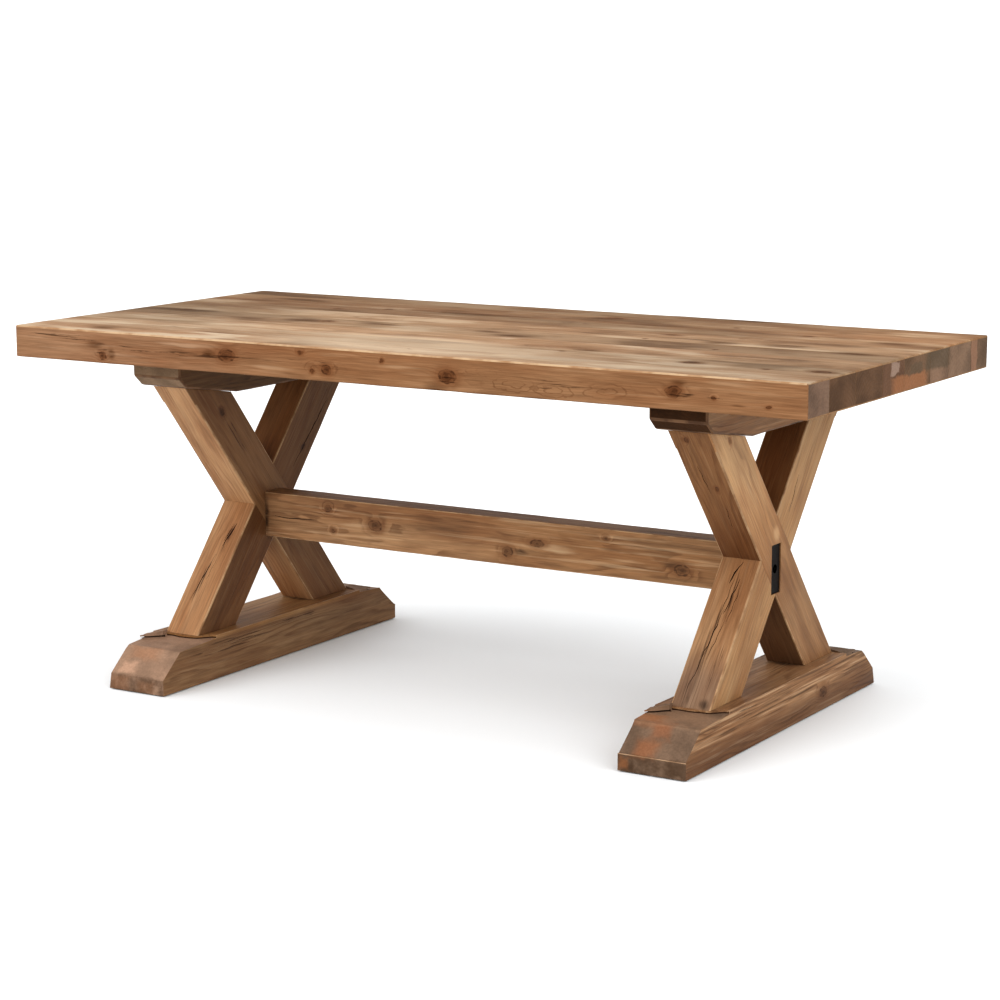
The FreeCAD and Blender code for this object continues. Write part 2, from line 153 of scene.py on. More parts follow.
# %% A finish: one material and the methods that add its nodes
class Finish:
    """A material under construction."""

    def __init__(self, name):
        self.material = bpy.data.materials.new(name)
        self.material.use_nodes = True
        self.tree = self.material.node_tree
        self.tree.nodes.clear()

    def node(self, kind, settings=None, sockets=None, output=None):
        node = self.tree.nodes.new(kind)
        for key, value in (settings or {}).items():
            if key == "stops":
                self.set_stops(node.color_ramp, value)
            else:
                setattr(node, key, value)
        for key, value in (sockets or {}).items():
            if isinstance(key, int):
                socket = node.inputs[key]
            else:
                socket = next(s for s in node.inputs if s.enabled and s.name == key)
            if isinstance(value, Wire):
                self.tree.links.new(value.socket, socket)
            elif hasattr(socket.default_value, "__len__") and len(socket.default_value) == 4:
                socket.default_value = (*value[:3], 1.0)
            else:
                socket.default_value = value
        usable = [s for s in node.outputs if s.enabled and (output is None or s.name == output)]
        return Wire(self, usable[0]) if usable else None

    def set_stops(self, ramp, stops):
        while len(ramp.elements) < len(stops):
            ramp.elements.new(0.5)
        for element, (place, colour) in zip(ramp.elements, stops):
            element.position = place
            element.color = (*colour, 1.0)

    def object_place(self):
        return self.node("ShaderNodeTexCoord", output="Object")

    def grain_place(self, grain):
        """The piece's own place, turned so that the first coordinate runs along its grain."""
        return self.node("ShaderNodeMapping", {"vector_type": "TEXTURE"},
                         {"Vector": self.object_place(), "Location": grain[0], "Rotation": grain[1]})

    def noise(self, place, scale, detail=2.0, output="Fac"):
        return self.node("ShaderNodeTexNoise", {}, {"Vector": place, "Scale": scale, "Detail": detail},
                         output)

    def wander(self, place, scale, detail=2.0):
        """A cloudy vector round nothing, to push places about."""
        return self.noise(place, scale, detail, "Color").shift((-0.5, -0.5, -0.5))

    def blend(self, amount, colour, other, how="MIX"):
        return self.node("ShaderNodeMix", {"data_type": "RGBA", "blend_type": how},
                         {"Factor": amount, "A": colour, "B": other})

    def dapple(self, colour, amount, *stops):
        """Darken and lighten a colour; stops are (amount, factor)."""
        greys = [(place, (factor,) * 3) for place, factor in stops]
        ramp = self.node("ShaderNodeValToRGB", {"stops": greys}, {"Fac": amount})
        return self.blend(1.0, colour, ramp, "MULTIPLY")

    def bump(self, height, strength, distance):
        return self.node("ShaderNodeBump", {}, {"Height": height, "Strength": strength, "Distance": distance},
                         "Normal")

    def cover(self, **sockets):
        """Close the finish with a Principled surface; sockets are given with _ for a space."""
        named = {key.replace("_", " "): value for key, value in sockets.items()}
        shader = self.node("ShaderNodeBsdfPrincipled", {}, named)
        self.node("ShaderNodeOutputMaterial", {}, {"Surface": shader})
        return self.material


# %% Colours as they look in the room
ROOM_LIGHT = 2.0   # how much light falls on a piece, so how much darker its own colour is than it looks


def tint(red, green, blue):
    """The own colour of a finish that should look like this screen colour, 0 to 255, in the room."""
    seen = [(v / 255 / 12.92) if v < 11 else ((v / 255 + 0.055) / 1.055) ** 2.4 for v in (red, green, blue)]
    return tuple(value / ROOM_LIGHT for value in seen)


print("tan is", [round(value, 3) for value in tint(188, 153, 122)])

# %% [markdown]
# ## Pine
#
# Each timber is sawn from its own log, so its grain is a set of rings round the log's heart, which
# lies somewhere beside the timber. The rings drift a little along the log, and that drift is what
# draws flames and long loops on a sawn face. A knot is where a branch left the log: the rings swing
# round it and its core is dark. A printed pattern could be wrapped round each timber, but it would
# repeat, and it would break off at every arris. Grain that is worked out from the place inside the
# log runs on round the corner. So the finish reads the piece's own coordinates, turned so that the
# first one runs along the grain, and lays one thin layer over another: rings, dirty and bare
# strokes, grey weather, stains and painted shade, rubbed places and painted sheen, knots and splits,
# and last painted light and shade on whole faces.


# %% Where a timber's grain runs
def along_x(middle):
    """Grain along the table."""
    return middle, (0.0, 0.0, 0.0)


def along_y(middle):
    """Grain across the table."""
    return middle, (0.0, 0.0, math.pi / 2)


def along_arm(middle, lean):
    """Grain along an arm that leans in the plane across the table."""
    turn = Matrix.Rotation(lean, 3, "X") @ Matrix.Rotation(-math.pi / 2, 3, "Y")
    return middle, tuple(turn.to_euler())


def to_grain(grain, place):
    """A place on the table in a timber's own grain coordinates."""
    middle, turn = grain
    return Euler(turn).to_matrix().transposed() @ (Vector(place) - Vector(middle))


# %% The browns of pine
BROWNS = {
    "light": tint(197, 157, 117),
    "warm": tint(164, 118, 80),
    "red": tint(136, 89, 57),
    "late": tint(108, 71, 46),
    "grey": tint(117, 95, 75),
    "stain_and_shade": tint(84, 60, 41),
    "knot": tint(130, 90, 60),
    "rim": tint(59, 38, 25),
    "pale": tint(226, 189, 149),
}
TOP_BROWNS = dict(BROWNS, light=tint(202, 166, 127), warm=tint(176, 132, 94), red=tint(150, 102, 66),
                  grey=tint(132, 102, 70), stain_and_shade=tint(104, 70, 42), pale=tint(226, 196, 158))
print("browns", len(BROWNS))


# %% A pine finish under construction
def seeded(place, seed):
    """The same place in another log."""
    return place.shift((seed * 1.37, seed * 0.71, seed * 2.13))


class Wood(Finish):
    """Pine, with the colour and the hollows laid on so far. Its place is still, and bent and nudged
    are pushed about, for marks that follow the grain and for marks with ragged rims."""

    def __init__(self, name, grain, seed, browns):
        super().__init__(name)
        self.grain, self.browns = grain, browns
        self.place = self.grain_place(grain)
        self.own = seeded(self.place, seed)
        self.long = self.drawn(7.0)
        self.drift = self.wander(self.long, 2.6).stretch((0.0, 0.05, 0.05))
        self.shiver = self.wander(self.drawn(3.0), 22.0)
        wobble = self.wander(self.own, 80.0).stretch((0.009, 0.006, 0.006))
        self.bent = self.place.shift(self.drift).shift(self.shiver.stretch((0.010, 0.004, 0.004)))
        self.nudged = self.place.shift(self.shiver.stretch((0.006, 0.004, 0.004))).shift(wobble)

    def drawn(self, times):
        """Places squeezed across the grain, so that what is painted with them runs along it."""
        return self.own.stretch((1.0, times, times))

    def lay(self, amount, brown):
        self.colour = self.blend(amount, self.colour, self.browns[brown])

    def nearest(self, place, marks):
        """Distance to the nearest of the marks, (place, size, stretch) on the table: 1 is at its rim."""
        best = None
        for spot, size, stretch in marks:
            sizes = (size * stretch, size, size)
            away = place.counted_from(to_grain(self.grain, spot), sizes).length()
            best = away if best is None else best.math("SMOOTH_MIN", away, 0.4)
        return best


# %% Rings, strokes, fibres and weather
RING = 0.0075   # a year's growth


def lay_rings(wood, heart, knot, warmth, red, late):
    """Pale and warm wood, red blushes, and dark late rings that swing aside near a knot."""
    to_heart = wood.bent.shift((0.0, -heart[0], -heart[1])).stretch((0.0, 1.0, 1.0)).length()
    years = to_heart / RING + wood.noise(wood.long, 4.0, 1.0) * 1.5
    if knot:
        years = years + knot.fade(3.2, 0.9) * 1.3
    season = years.math("FRACT")
    wood.dark_line = season.fade(0.35, 0.85) * season.fade(1.0, 0.9)
    wood.patchy = wood.noise(wood.long.shift((3.0, 1.0, 7.0)), 5.0, 3.0).fade(0.40, 0.62) * 0.8 + 0.2
    tone = wood.noise(wood.long, 1.5, 4.0).fade(0.3, 0.72)
    wood.colour = wood.blend((tone * 0.8 + (warmth - 0.4)).math("MINIMUM", 1.0),
                             wood.browns["light"], wood.browns["warm"])
    wood.blush = wood.noise(wood.drawn(5.0).shift((5.0, 8.0, 1.0)), 5.0, 4.0)
    wood.lay(wood.blush.fade(0.46, 0.66) * red, "red")
    wood.lay(wood.dark_line * wood.patchy * late, "late")


def lay_strokes(wood, bare, lines, grey):
    """Long thin strokes, pale where the fibres are bare and dark where they hold dirt, and weather."""
    wood.strokes = wood.noise(wood.drawn(26.0), 5.5, 4.0)
    wood.lay(wood.strokes.fade(0.46, 0.30) * bare, "pale")
    wood.lay(wood.strokes.fade(0.56, 0.72) * lines, "stain_and_shade")
    weather = wood.noise(wood.drawn(9.0).shift((9.0, 4.0, 2.0)), 2.2, 5.0)
    wood.lay(weather.fade(0.46, 0.66) * grey, "grey")


def lay_clouds(wood, broad):
    """Broad pale and stained clouds, on the upper face alone."""
    upper = wood.place.axis("Z").fade(0.030, 0.0335) * broad
    cloud = wood.noise(wood.drawn(2.4).shift(wood.drift.stretch((2.0, 2.0, 2.0))), 3.8, 6.0)
    cloud = cloud + wood.strokes * 0.22
    wood.lay(cloud.fade(0.60, 0.44) * upper * 0.85, "pale")
    wood.lay(cloud.fade(0.62, 0.80) * upper * 0.7, "stain_and_shade")


def lay_scores(wood, comb):
    """Strong strokes on the upper part of a face that was scored along the grain."""
    height = wood.place.axis("Z")
    high = height.fade(-0.012, 0.006) * height.fade(0.0465, 0.043) * comb
    scored = wood.noise(wood.drawn(30.0), 4.6, 4.0)
    wood.lay(scored.fade(0.47, 0.35) * high, "pale")
    wood.lay(scored.fade(0.53, 0.63) * high, "stain_and_shade")


def lay_fibres(wood, shade):
    """Fine fibres, which also set how light the whole timber is, and the hollows between them."""
    wood.fibre = wood.noise(wood.drawn(36.0), 16.0, 3.0)
    wood.colour = wood.dapple(wood.colour, wood.fibre, (0.25, 0.74 * shade), (0.75, 1.14 * shade))
    wood.hollow = wood.strokes.fade(0.56, 0.72) * 0.6 + wood.dark_line * wood.patchy * 0.3 + wood.fibre * -0.5


# %% Dirt and painted shade, rubbed places and painted sheen, and knots
def lay_smears(wood, smears, rubs):
    """Darker places that follow the strokes, which are dirt and at some joints painted shade, and pale
    places, which are rubbed wear and on the top also painted sheen.
    """
    if smears:
        smear = wood.nearest(wood.bent, smears)
        stroke_weight = wood.strokes.fade(0.36, 0.62) * 0.45 + 0.52
        wood.lay((smear + wood.strokes * 0.8 + wood.blush).fade(2.1, 1.1) * stroke_weight, "stain_and_shade")
    if rubs:
        # pale places: rubbed wear, and on the top's front also painted sheen
        rubbed = wood.nearest(wood.bent, rubs)
        wood.lay((rubbed + wood.fibre * 0.9).fade(1.8, 0.8) * 0.5, "pale")


def lay_knots(wood, knot):
    """A red halo, a brown core with its own turns, a dark broken brim and a darker middle."""
    grime = wood.noise(wood.drawn(2.0).shift((4.0, 4.0, 4.0)), 60.0, 3.0)
    wood.lay((knot + wood.blush * 1.6).fade(3.4, 1.5) * 0.6, "red")
    wood.lay(knot.fade(1.25, 0.7) * 0.75, "knot")
    turns = (knot * 12.0 + grime * 2.0).math("SINE").fade(0.3, 1.0)
    wood.lay(turns * knot.fade(1.9, 0.9) * 0.28, "rim")
    brim = knot.fade(1.3, 1.02) * knot.fade(0.7, 0.92) * grime.fade(0.46, 0.60)
    wood.lay(brim * 0.6, "rim")
    wood.lay((knot + grime * 1.7).fade(1.45, 0.95) * 0.5, "rim")
    wood.hollow = wood.hollow + knot.fade(1.2, 0.8) * grime


# %% Splits, whorls and sides
SIDE_DEPTH = 0.004   # how far in from its face a side's shade reaches


def lay_splits(wood, splits, whorls):
    """Dark torn threads, and curls where the grain loops on a sawn face."""
    if splits:
        split = wood.nearest(wood.nudged, splits)
        threads = wood.noise(wood.drawn(34.0).shift((7.0, 7.0, 7.0)), 7.0, 3.0)
        torn = threads.fade(0.53, 0.60) * split.fade(1.5, 0.8)
        wood.lay(torn * 0.7, "rim")
        wood.hollow = wood.hollow + torn
    if whorls:
        whorl = wood.nearest(wood.nudged.shift(wood.shiver.stretch((0.030, 0.012, 0.012))), whorls)
        curls = (whorl * 8.5 + wood.strokes * 3.0).math("SINE").fade(0.55, 1.0)
        wood.lay(curls * whorl.fade(2.6, 1.2) * wood.patchy * 0.42, "late")


def shade_sides(wood, sides):
    """Lighter or darker sides, mostly painted light and shade where light falls on a face or the table
    shades it, and on a few faces their own tone: (axis, place, factors, depth, from and to along the grain),
    where the last two may be left out."""
    for axis, at, factors, *more in sides:
        depth = more[0] if more else SIDE_DEPTH
        share = (wood.place.axis(axis) - at).math("ABSOLUTE").fade(depth, depth * 0.4)
        if len(more) > 1:
            share = share * wood.place.axis("X").fade(*more[1])
        shaded = wood.blend(1.0, wood.colour, factors, "MULTIPLY")
        wood.colour = wood.blend(share, wood.colour, shaded)


# %% The pine finish
def pine(name, grain, heart, seed, late=0.35, grey=0.3, red=0.4, broad=0.0, shade=1.0, warmth=0.5,
         knots=(), smears=(), rubs=(), whorls=(), splits=(), sides=(), lines=0.4, bare=0.35, comb=0.0,
         rough=0.55, shine=0.1, browns=BROWNS):
    """Reclaimed pine. knots, smears, rubs, whorls and splits are (place, size, stretch) on the table;
    smears also paints shade at some joints, rubs also paints sheen on the top, and sides
    paint light and shade on whole faces. broad clouds lie on the upper face alone; comb is for faces scored
    along the grain."""
    wood = Wood(name, grain, seed, browns)
    knot = wood.nearest(wood.nudged, knots)
    lay_rings(wood, heart, knot, warmth, red, late)
    lay_strokes(wood, bare, lines, grey)
    if broad:
        lay_clouds(wood, broad)
    if comb:
        lay_scores(wood, comb)
    lay_fibres(wood, shade)
    lay_smears(wood, smears, rubs)
    if knot:
        lay_knots(wood, knot)
    lay_splits(wood, splits, whorls)
    shade_sides(wood, sides)
    return wood.cover(Base_Color=wood.colour, Roughness=wood.fibre * 0.25 + (rough - 0.12),
                      Specular_IOR_Level=shine, Normal=wood.bump(wood.hollow * -1.0, 0.55, 0.0010))


# %% [markdown]
# ## End grain, cracks and rubbed arrises
#
# Sawn across, pine drinks in dirt and wax, so the ends are darker and greyer than the faces and
# show the rings as arcs. Inside a crack the finish is dark: dust, and painted shade. The same dark
# finish is put on the face under each foot's ragged step and inside the gap under its splinter,
# as painted shadow. Where hands and chairs rub, the arris is pale and smooth. All three could be
# mixed into the pine by place. They are finishes of their own instead, given to their own faces,
# because a saw and a plane leave a clean line.


# %% End grain
END_RING = 0.0085   # a year's growth, a little wider where a log is thick


def end_grain(name, grain, heart, seed, base, patches=(), soft=0.1):
    """Sawn ends. patches are (place, half sizes, colour, strength) on the table; soft blurs their rims."""
    finish = Finish(name)
    place = finish.grain_place(grain)
    spot = finish.object_place()
    own = seeded(place, seed)
    ripple = finish.wander(own, 35.0, 3.0).stretch((0.0, 0.012, 0.012))
    away = place.shift(ripple).shift((0.0, -heart[0], -heart[1])).stretch((0.0, 1.0, 1.0)).length()
    season = (away / END_RING).math("FRACT")
    dark_line = season.fade(0.4, 0.85) * season.fade(1.0, 0.9)
    cloud = finish.noise(own, 16.0, 4.0)
    colour = finish.blend(cloud.fade(0.35, 0.7), base, tuple(0.66 * part for part in base))
    colour = finish.blend(dark_line * 0.09, colour, tuple(0.5 * part for part in base))
    warped = spot.shift(finish.wander(spot, 40.0, 3.0).stretch((0.02, 0.02, 0.02)))
    for centre, half, patch, strength in patches:
        box = warped.counted_from(centre, half).vector("ABSOLUTE")
        reach = box.axis("X").math("MAXIMUM", box.axis("Y")).math("MAXIMUM", box.axis("Z"))
        colour = finish.blend(reach.fade(1.0 + soft, 1.0 - soft) * strength, colour, patch)
    grit = finish.noise(own, 220.0, 3.0)
    colour = finish.dapple(colour, grit, (0.3, 0.88), (0.7, 1.07))
    return finish.cover(Base_Color=colour, Roughness=cloud * 0.2 + 0.55, Specular_IOR_Level=0.1,
                        Normal=finish.bump(grit + dark_line * -0.6, 0.35, 0.0008))


# %% Rubbed arrises and the dark inside of a crack
def rubbed_pine(name, colour, other, seed):
    """Pine rubbed smooth on an arris, cloudy between two colours."""
    finish = Finish(name)
    place = finish.object_place().shift((seed, seed * 0.3, seed * 0.6))
    worn = finish.noise(place, 26.0, 4.0)
    return finish.cover(Base_Color=finish.blend(worn.fade(0.38, 0.66), colour, other),
                        Roughness=worn * 0.25 + 0.4, Specular_IOR_Level=0.15,
                        Normal=finish.bump(finish.noise(place, 160.0, 3.0), 0.35, 0.0006))


def crack_dust_and_shade():
    """The dark inside a crack, dust and painted shade; it is also the painted shadow under the feet's ragged
    steps and splinters.
    """
    finish = Finish("crack_dust_and_shade")
    dust = finish.noise(finish.object_place(), 90.0, 3.0)
    return finish.cover(Base_Color=finish.blend(dust, tint(50, 33, 22), tint(82, 56, 37)), Roughness=0.9,
                        Specular_IOR_Level=0.1)


RUBBED_TOP = rubbed_pine("rubbed_top_arris", tint(226, 190, 150), tint(190, 146, 106), 1.0)
RUBBED_DARK = rubbed_pine("rubbed_dark_arris", tint(150, 112, 80), tint(108, 76, 52), 7.0)
RUBBED_FOOT = rubbed_pine("rubbed_foot_arris", tint(220, 182, 144), tint(172, 134, 100), 9.0)
RUBBED_FRAME = rubbed_pine("rubbed_frame_arris", tint(212, 172, 130), tint(172, 130, 92), 4.0)
CRACK_DUST_AND_SHADE = crack_dust_and_shade()
print("shared finishes", RUBBED_TOP.name, RUBBED_FRAME.name, CRACK_DUST_AND_SHADE.name)

# %% [markdown]
# ## The bench
#
# Every timber starts as a blank: a cube at the timber's place and size. Planes saw it to shape and
# scribe lines across it, so that its long arrises have points that can wear unevenly. Faces and
# edges are chosen by where they are and which way they face, as a joiner marks them with a pencil.
# Mortises, holes and cracks are cut with tools, solids that are taken away by a Boolean, and tenons
# and splinters are joined to the timber in the same way. A timber could also be extruded from an
# outline, but a blank that is sawn, eased and cut, as a joiner does it, gives every piece of this
# table with the same few helpers. The arrises are eased before the mortises are cut, so that the
# mouths of the joints stay sharp.


# %% Blanks, and opening a mesh to work on it
def only(piece):
    """Select this piece alone."""
    bpy.ops.object.select_all(action="DESELECT")
    piece.select_set(True)
    bpy.context.view_layer.objects.active = piece


def settle():
    """Move the selected object's place, turn and size into its mesh."""
    bpy.ops.object.transform_apply(location=True, rotation=True, scale=True)
    return bpy.context.object


def blank(name, low, high, turn=(0.0, 0.0, 0.0)):
    """A block between two corners, turned about its middle."""
    low, high = Vector(low), Vector(high)
    bpy.ops.object.select_all(action="DESELECT")
    bpy.ops.mesh.primitive_cube_add(size=1.0, location=(low + high) / 2, rotation=turn, scale=high - low)
    piece = settle()
    piece.name = piece.data.name = name
    return piece


def open_mesh(piece):
    """Open the piece's mesh for work, with nothing selected."""
    only(piece)
    bpy.ops.object.mode_set(mode="EDIT")
    bpy.ops.mesh.select_all(action="DESELECT")


def close_mesh():
    bpy.ops.object.mode_set(mode="OBJECT")


def pick(piece, kind, test):
    """Select the VERT, EDGE or FACE items of the open mesh that pass a test."""
    bpy.ops.mesh.select_mode(type=kind)
    bpy.ops.mesh.select_all(action="DESELECT")
    mesh = bmesh.from_edit_mesh(piece.data)
    for item in {"VERT": mesh.verts, "EDGE": mesh.edges, "FACE": mesh.faces}[kind]:
        if test(item):
            item.select_set(True)
    bmesh.update_edit_mesh(piece.data)


def push(piece, test, way):
    """Move the points of the open mesh that pass a test."""
    pick(piece, "VERT", lambda vert: test(vert.co))
    bpy.ops.transform.translate(value=way)


# %% Giving a piece its finishes
def give_slots(piece, *finishes):
    """Give the piece its finishes; its faces start with the first."""
    piece.data.materials.clear()
    for finish in finishes:
        piece.data.materials.append(finish)


def paint(piece, slot, test):
    """Give the faces that pass a test the finish in this slot."""
    open_mesh(piece)
    pick(piece, "FACE", test)
    piece.active_material_index = slot
    bpy.ops.object.material_slot_assign()
    close_mesh()


# %% Sawing and scribing
def saw(piece, point, normal):
    """Saw the piece on a plane; what lies on the normal's side falls off."""
    open_mesh(piece)
    bpy.ops.mesh.select_all(action="SELECT")
    bpy.ops.mesh.bisect(plane_co=point, plane_no=normal, clear_outer=True, use_fill=True)
    close_mesh()


def scribe(piece, points, normal):
    """Scribe lines round the piece, one through each point."""
    open_mesh(piece)
    for point in points:
        bpy.ops.mesh.select_all(action="SELECT")
        bpy.ops.mesh.bisect(plane_co=point, plane_no=normal)
    close_mesh()


# %% Knocking and easing arrises
SHARP = 0.35   # an edge that turns by less than this many radians is no arris


def apply_all(piece):
    """Work the piece's modifiers into its mesh."""
    only(piece)
    for modifier in list(piece.modifiers):
        bpy.ops.object.modifier_apply(modifier=modifier.name)


def knock(piece, size, strength, level, group=""):
    """Push the surface, or a group of its points, in and out in a cloudy pattern."""
    texture = bpy.data.textures.new("knocks", "CLOUDS")
    texture.noise_scale = size
    texture.noise_depth = 2
    press = piece.modifiers.new("knocks", "DISPLACE")
    press.texture = texture
    press.texture_coords = "LOCAL"
    press.vertex_group = group
    press.mid_level = level
    press.strength = strength


def ease(piece, width, test, segments=2, slot=1, knocks=0.0, size=0.05):
    """Knock the arrises whose middles pass the test inwards unevenly, then round them."""
    open_mesh(piece)
    pick(piece, "EDGE", lambda edge: len(edge.link_faces) == 2 and edge.calc_face_angle(0.0) > SHARP
         and test((edge.verts[0].co + edge.verts[1].co) / 2))
    bpy.ops.transform.edge_bevelweight(value=1.0)
    bpy.ops.object.vertex_group_assign_new()
    piece.vertex_groups[-1].name = "arris"
    close_mesh()
    if knocks:
        knock(piece, size, knocks, 0.9, "arris")
    round_over = piece.modifiers.new("round_over", "BEVEL")
    round_over.limit_method = "WEIGHT"
    round_over.width = width
    round_over.segments = segments
    round_over.material = slot
    apply_all(piece)
    piece.vertex_groups.clear()
    weights = piece.data.attributes.get("bevel_weight_edge")
    if weights:
        piece.data.attributes.remove(weights)


# %% Cutting with tools, and joining tenons
def cut(piece, tools, how="DIFFERENCE"):
    """Take the tools away from the piece, or join them to it."""
    bpy.ops.object.select_all(action="DESELECT")
    for tool in tools:
        tool.select_set(True)
    bpy.context.view_layer.objects.active = tools[0]
    if len(tools) > 1:
        bpy.ops.object.join()
    carve = piece.modifiers.new("carve", "BOOLEAN")
    carve.operation = how
    carve.object = tools[0]
    carve.solver = "EXACT"
    carve.use_self = len(tools) > 1
    carve.material_mode = "TRANSFER"
    apply_all(piece)
    bpy.data.objects.remove(tools[0])


def tool_block(low, high, finish=None, turn=(0.0, 0.0, 0.0)):
    """A block to cut out or to join; the faces that it leaves have its finish."""
    tool = blank("tool", low, high, turn)
    if finish:
        tool.data.materials.append(finish)
    return tool


def tool_tenon(y, bottom, top, finish):
    """An arm's tenon, or the mortise for it, round a place across the table."""
    return tool_block((TRESTLE_X - 0.015, y - 0.035, bottom), (TRESTLE_X + 0.015, y + 0.035, top), finish)


def tool_rod(place, bottom, top, radius, finish=None, axis="Z"):
    """An upright rod, or one along X with place = (y, z)."""
    bpy.ops.object.select_all(action="DESELECT")
    if axis == "Z":
        location, turn = (place[0], place[1], (bottom + top) / 2), (0.0, 0.0, 0.0)
    else:
        location, turn = ((bottom + top) / 2, place[0], place[1]), (0.0, math.pi / 2, 0.0)
    bpy.ops.mesh.primitive_cylinder_add(vertices=24, radius=radius, depth=top - bottom,
                                        location=location, rotation=turn)
    tool = settle()
    if finish:
        tool.data.materials.append(finish)
    return tool


# %% The tool that opens a drying crack
CRACK_STEP, CRACK_SWAY = 0.014, 0.0016   # how long its straight runs are, and how far it strays
CRACK_TIP = 0.2                          # how wide it starts, as a share of its width


def tool_crack(points, width, depth, outward, seed=1):
    """A jagged wedge along the points, thin at both ends, to be taken out of a face."""
    dice = random.Random(seed)
    points = [Vector(point) for point in points]
    outward = Vector(outward).normalized()
    path = []
    for start, end in zip(points[:-1], points[1:]):
        count = max(1, round((end - start).length / CRACK_STEP))
        side = (end - start).cross(outward).normalized()
        for number in range(count):
            sway = side * dice.uniform(-CRACK_SWAY, CRACK_SWAY)
            path.append(start.lerp(end, number / count) + (sway if path else Vector()))
    path.append(points[-1])
    along = (path[1] - path[0]).normalized()
    side = along.cross(outward).normalized()
    bpy.ops.object.select_all(action="DESELECT")
    bpy.ops.mesh.primitive_circle_add(vertices=4, radius=1.0, fill_type="NGON")
    bpy.context.object.matrix_world = Matrix.Translation(path[0]) @ Matrix((
        side * width / 2 * CRACK_TIP, outward * depth * CRACK_TIP, along)).transposed().to_4x4()
    tool = settle()
    open_mesh(tool)
    bpy.ops.mesh.select_all(action="SELECT")
    size = CRACK_TIP
    for number, (here, there) in enumerate(zip(path[:-1], path[1:]), start=1):
        share = number / (len(path) - 1)
        wanted = max(0.15, math.sin(math.pi * (0.08 + 0.84 * share)) * dice.uniform(0.6, 1.15))
        bpy.ops.mesh.extrude_region_move(TRANSFORM_OT_translate={"value": there - here})
        bpy.ops.transform.resize(value=(wanted / size,) * 3, center_override=there)
        size = wanted
    bpy.ops.mesh.select_all(action="SELECT")
    bpy.ops.mesh.normals_make_consistent(inside=False)
    close_mesh()
    tool.data.materials.append(CRACK_DUST_AND_SHADE)
    return tool


# %% Turning, copying and handing in
def turn_about(piece, x=0.0):
    """Half a turn about the upright line through a place along the table."""
    only(piece)
    piece.rotation_euler = (0.0, 0.0, math.pi)
    piece.location = (2 * x, 0.0, 0.0)
    settle()


def turned_copy(piece, name):
    """The same piece for the other trestle: half a turn about the table's middle."""
    only(piece)
    bpy.ops.object.duplicate(linked=False)
    copy = bpy.context.object
    turn_about(copy)
    copy.name = copy.data.name = name
    return copy


def hand_in(piece, slot, *nodes):
    """Smooth the piece's rounds, let it ride and stand for its CAD nodes."""
    only(piece)
    bpy.ops.object.shade_smooth_by_angle(angle=math.radians(40.0))
    even = piece.modifiers.new("even_faces", "WEIGHTED_NORMAL")
    even.keep_sharp = True
    apply_all(piece)
    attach(piece, "root")
    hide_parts(*nodes)
    print(piece.name, "faces", len(piece.data.polygons))


print("bench ready")

# %% [markdown]
# ## The table top
#
# Eight long boards lie edge to edge. Only the arrises round the outside are worn; at the joints
# the boards are level and barely eased, so the top reads as one slab with changing colour. It could
# be one block with lines drawn on it, but separate boards change their grain, their colour and
# their end grain at the same line, as sawn boards do. Each is a blank with a groove for its loose
# tongue and holes for the screws from below. What is worn, stained or split on one of them is
# listed by its place, because old boards are known by their marks.


# %% Marks on flat faces
def on_upright(y, *marks):
    """Marks on an upright face, given as (along, up, size, stretch)."""
    return [((x, y, z), size, stretch) for x, z, size, stretch in marks]


def on_level(z, *marks):
    """Marks on a level face, given as (along, across, size, stretch)."""
    return [((x, y, z), size, stretch) for x, y, size, stretch in marks]


# %% Knots, stains, rubbed places and painted sheen of the top
TOP_KNOTS = on_upright(
    FRONT_Y, (-0.681, 0.710, 0.0075, 1.2), (-0.361, 0.731, 0.012, 1.5),
    (-0.117, 0.718, 0.009, 1.2), (-0.151, 0.713, 0.004, 1.3), (0.164, 0.723, 0.012, 1.5),
    (0.648, 0.728, 0.0095, 1.4), (0.729, 0.722, 0.0028, 1.5), (0.838, 0.713, 0.0028, 2.0),
    (0.013, 0.744, 0.0035, 1.0), (-0.179, 0.748, 0.004, 1.6)) + on_level(
    TOP_Z, (-0.797, -0.003, 0.008, 1.3), (-0.387, -0.042, 0.010, 1.4), (-0.512, 0.176, 0.008, 1.4),
    (-0.411, 0.227, 0.007, 1.4), (0.113, 0.323, 0.013, 1.3), (0.419, 0.288, 0.005, 1.2),
    (0.365, 0.103, 0.006, 2.0), (0.347, 0.018, 0.004, 1.5), (0.307, -0.251, 0.005, 1.6),
    (0.605, -0.281, 0.011, 1.4), (0.552, -0.075, 0.005, 1.3), (0.767, -0.302, 0.005, 1.6),
    (0.870, -0.285, 0.012, 1.4), (0.612, 0.225, 0.006, 1.4))
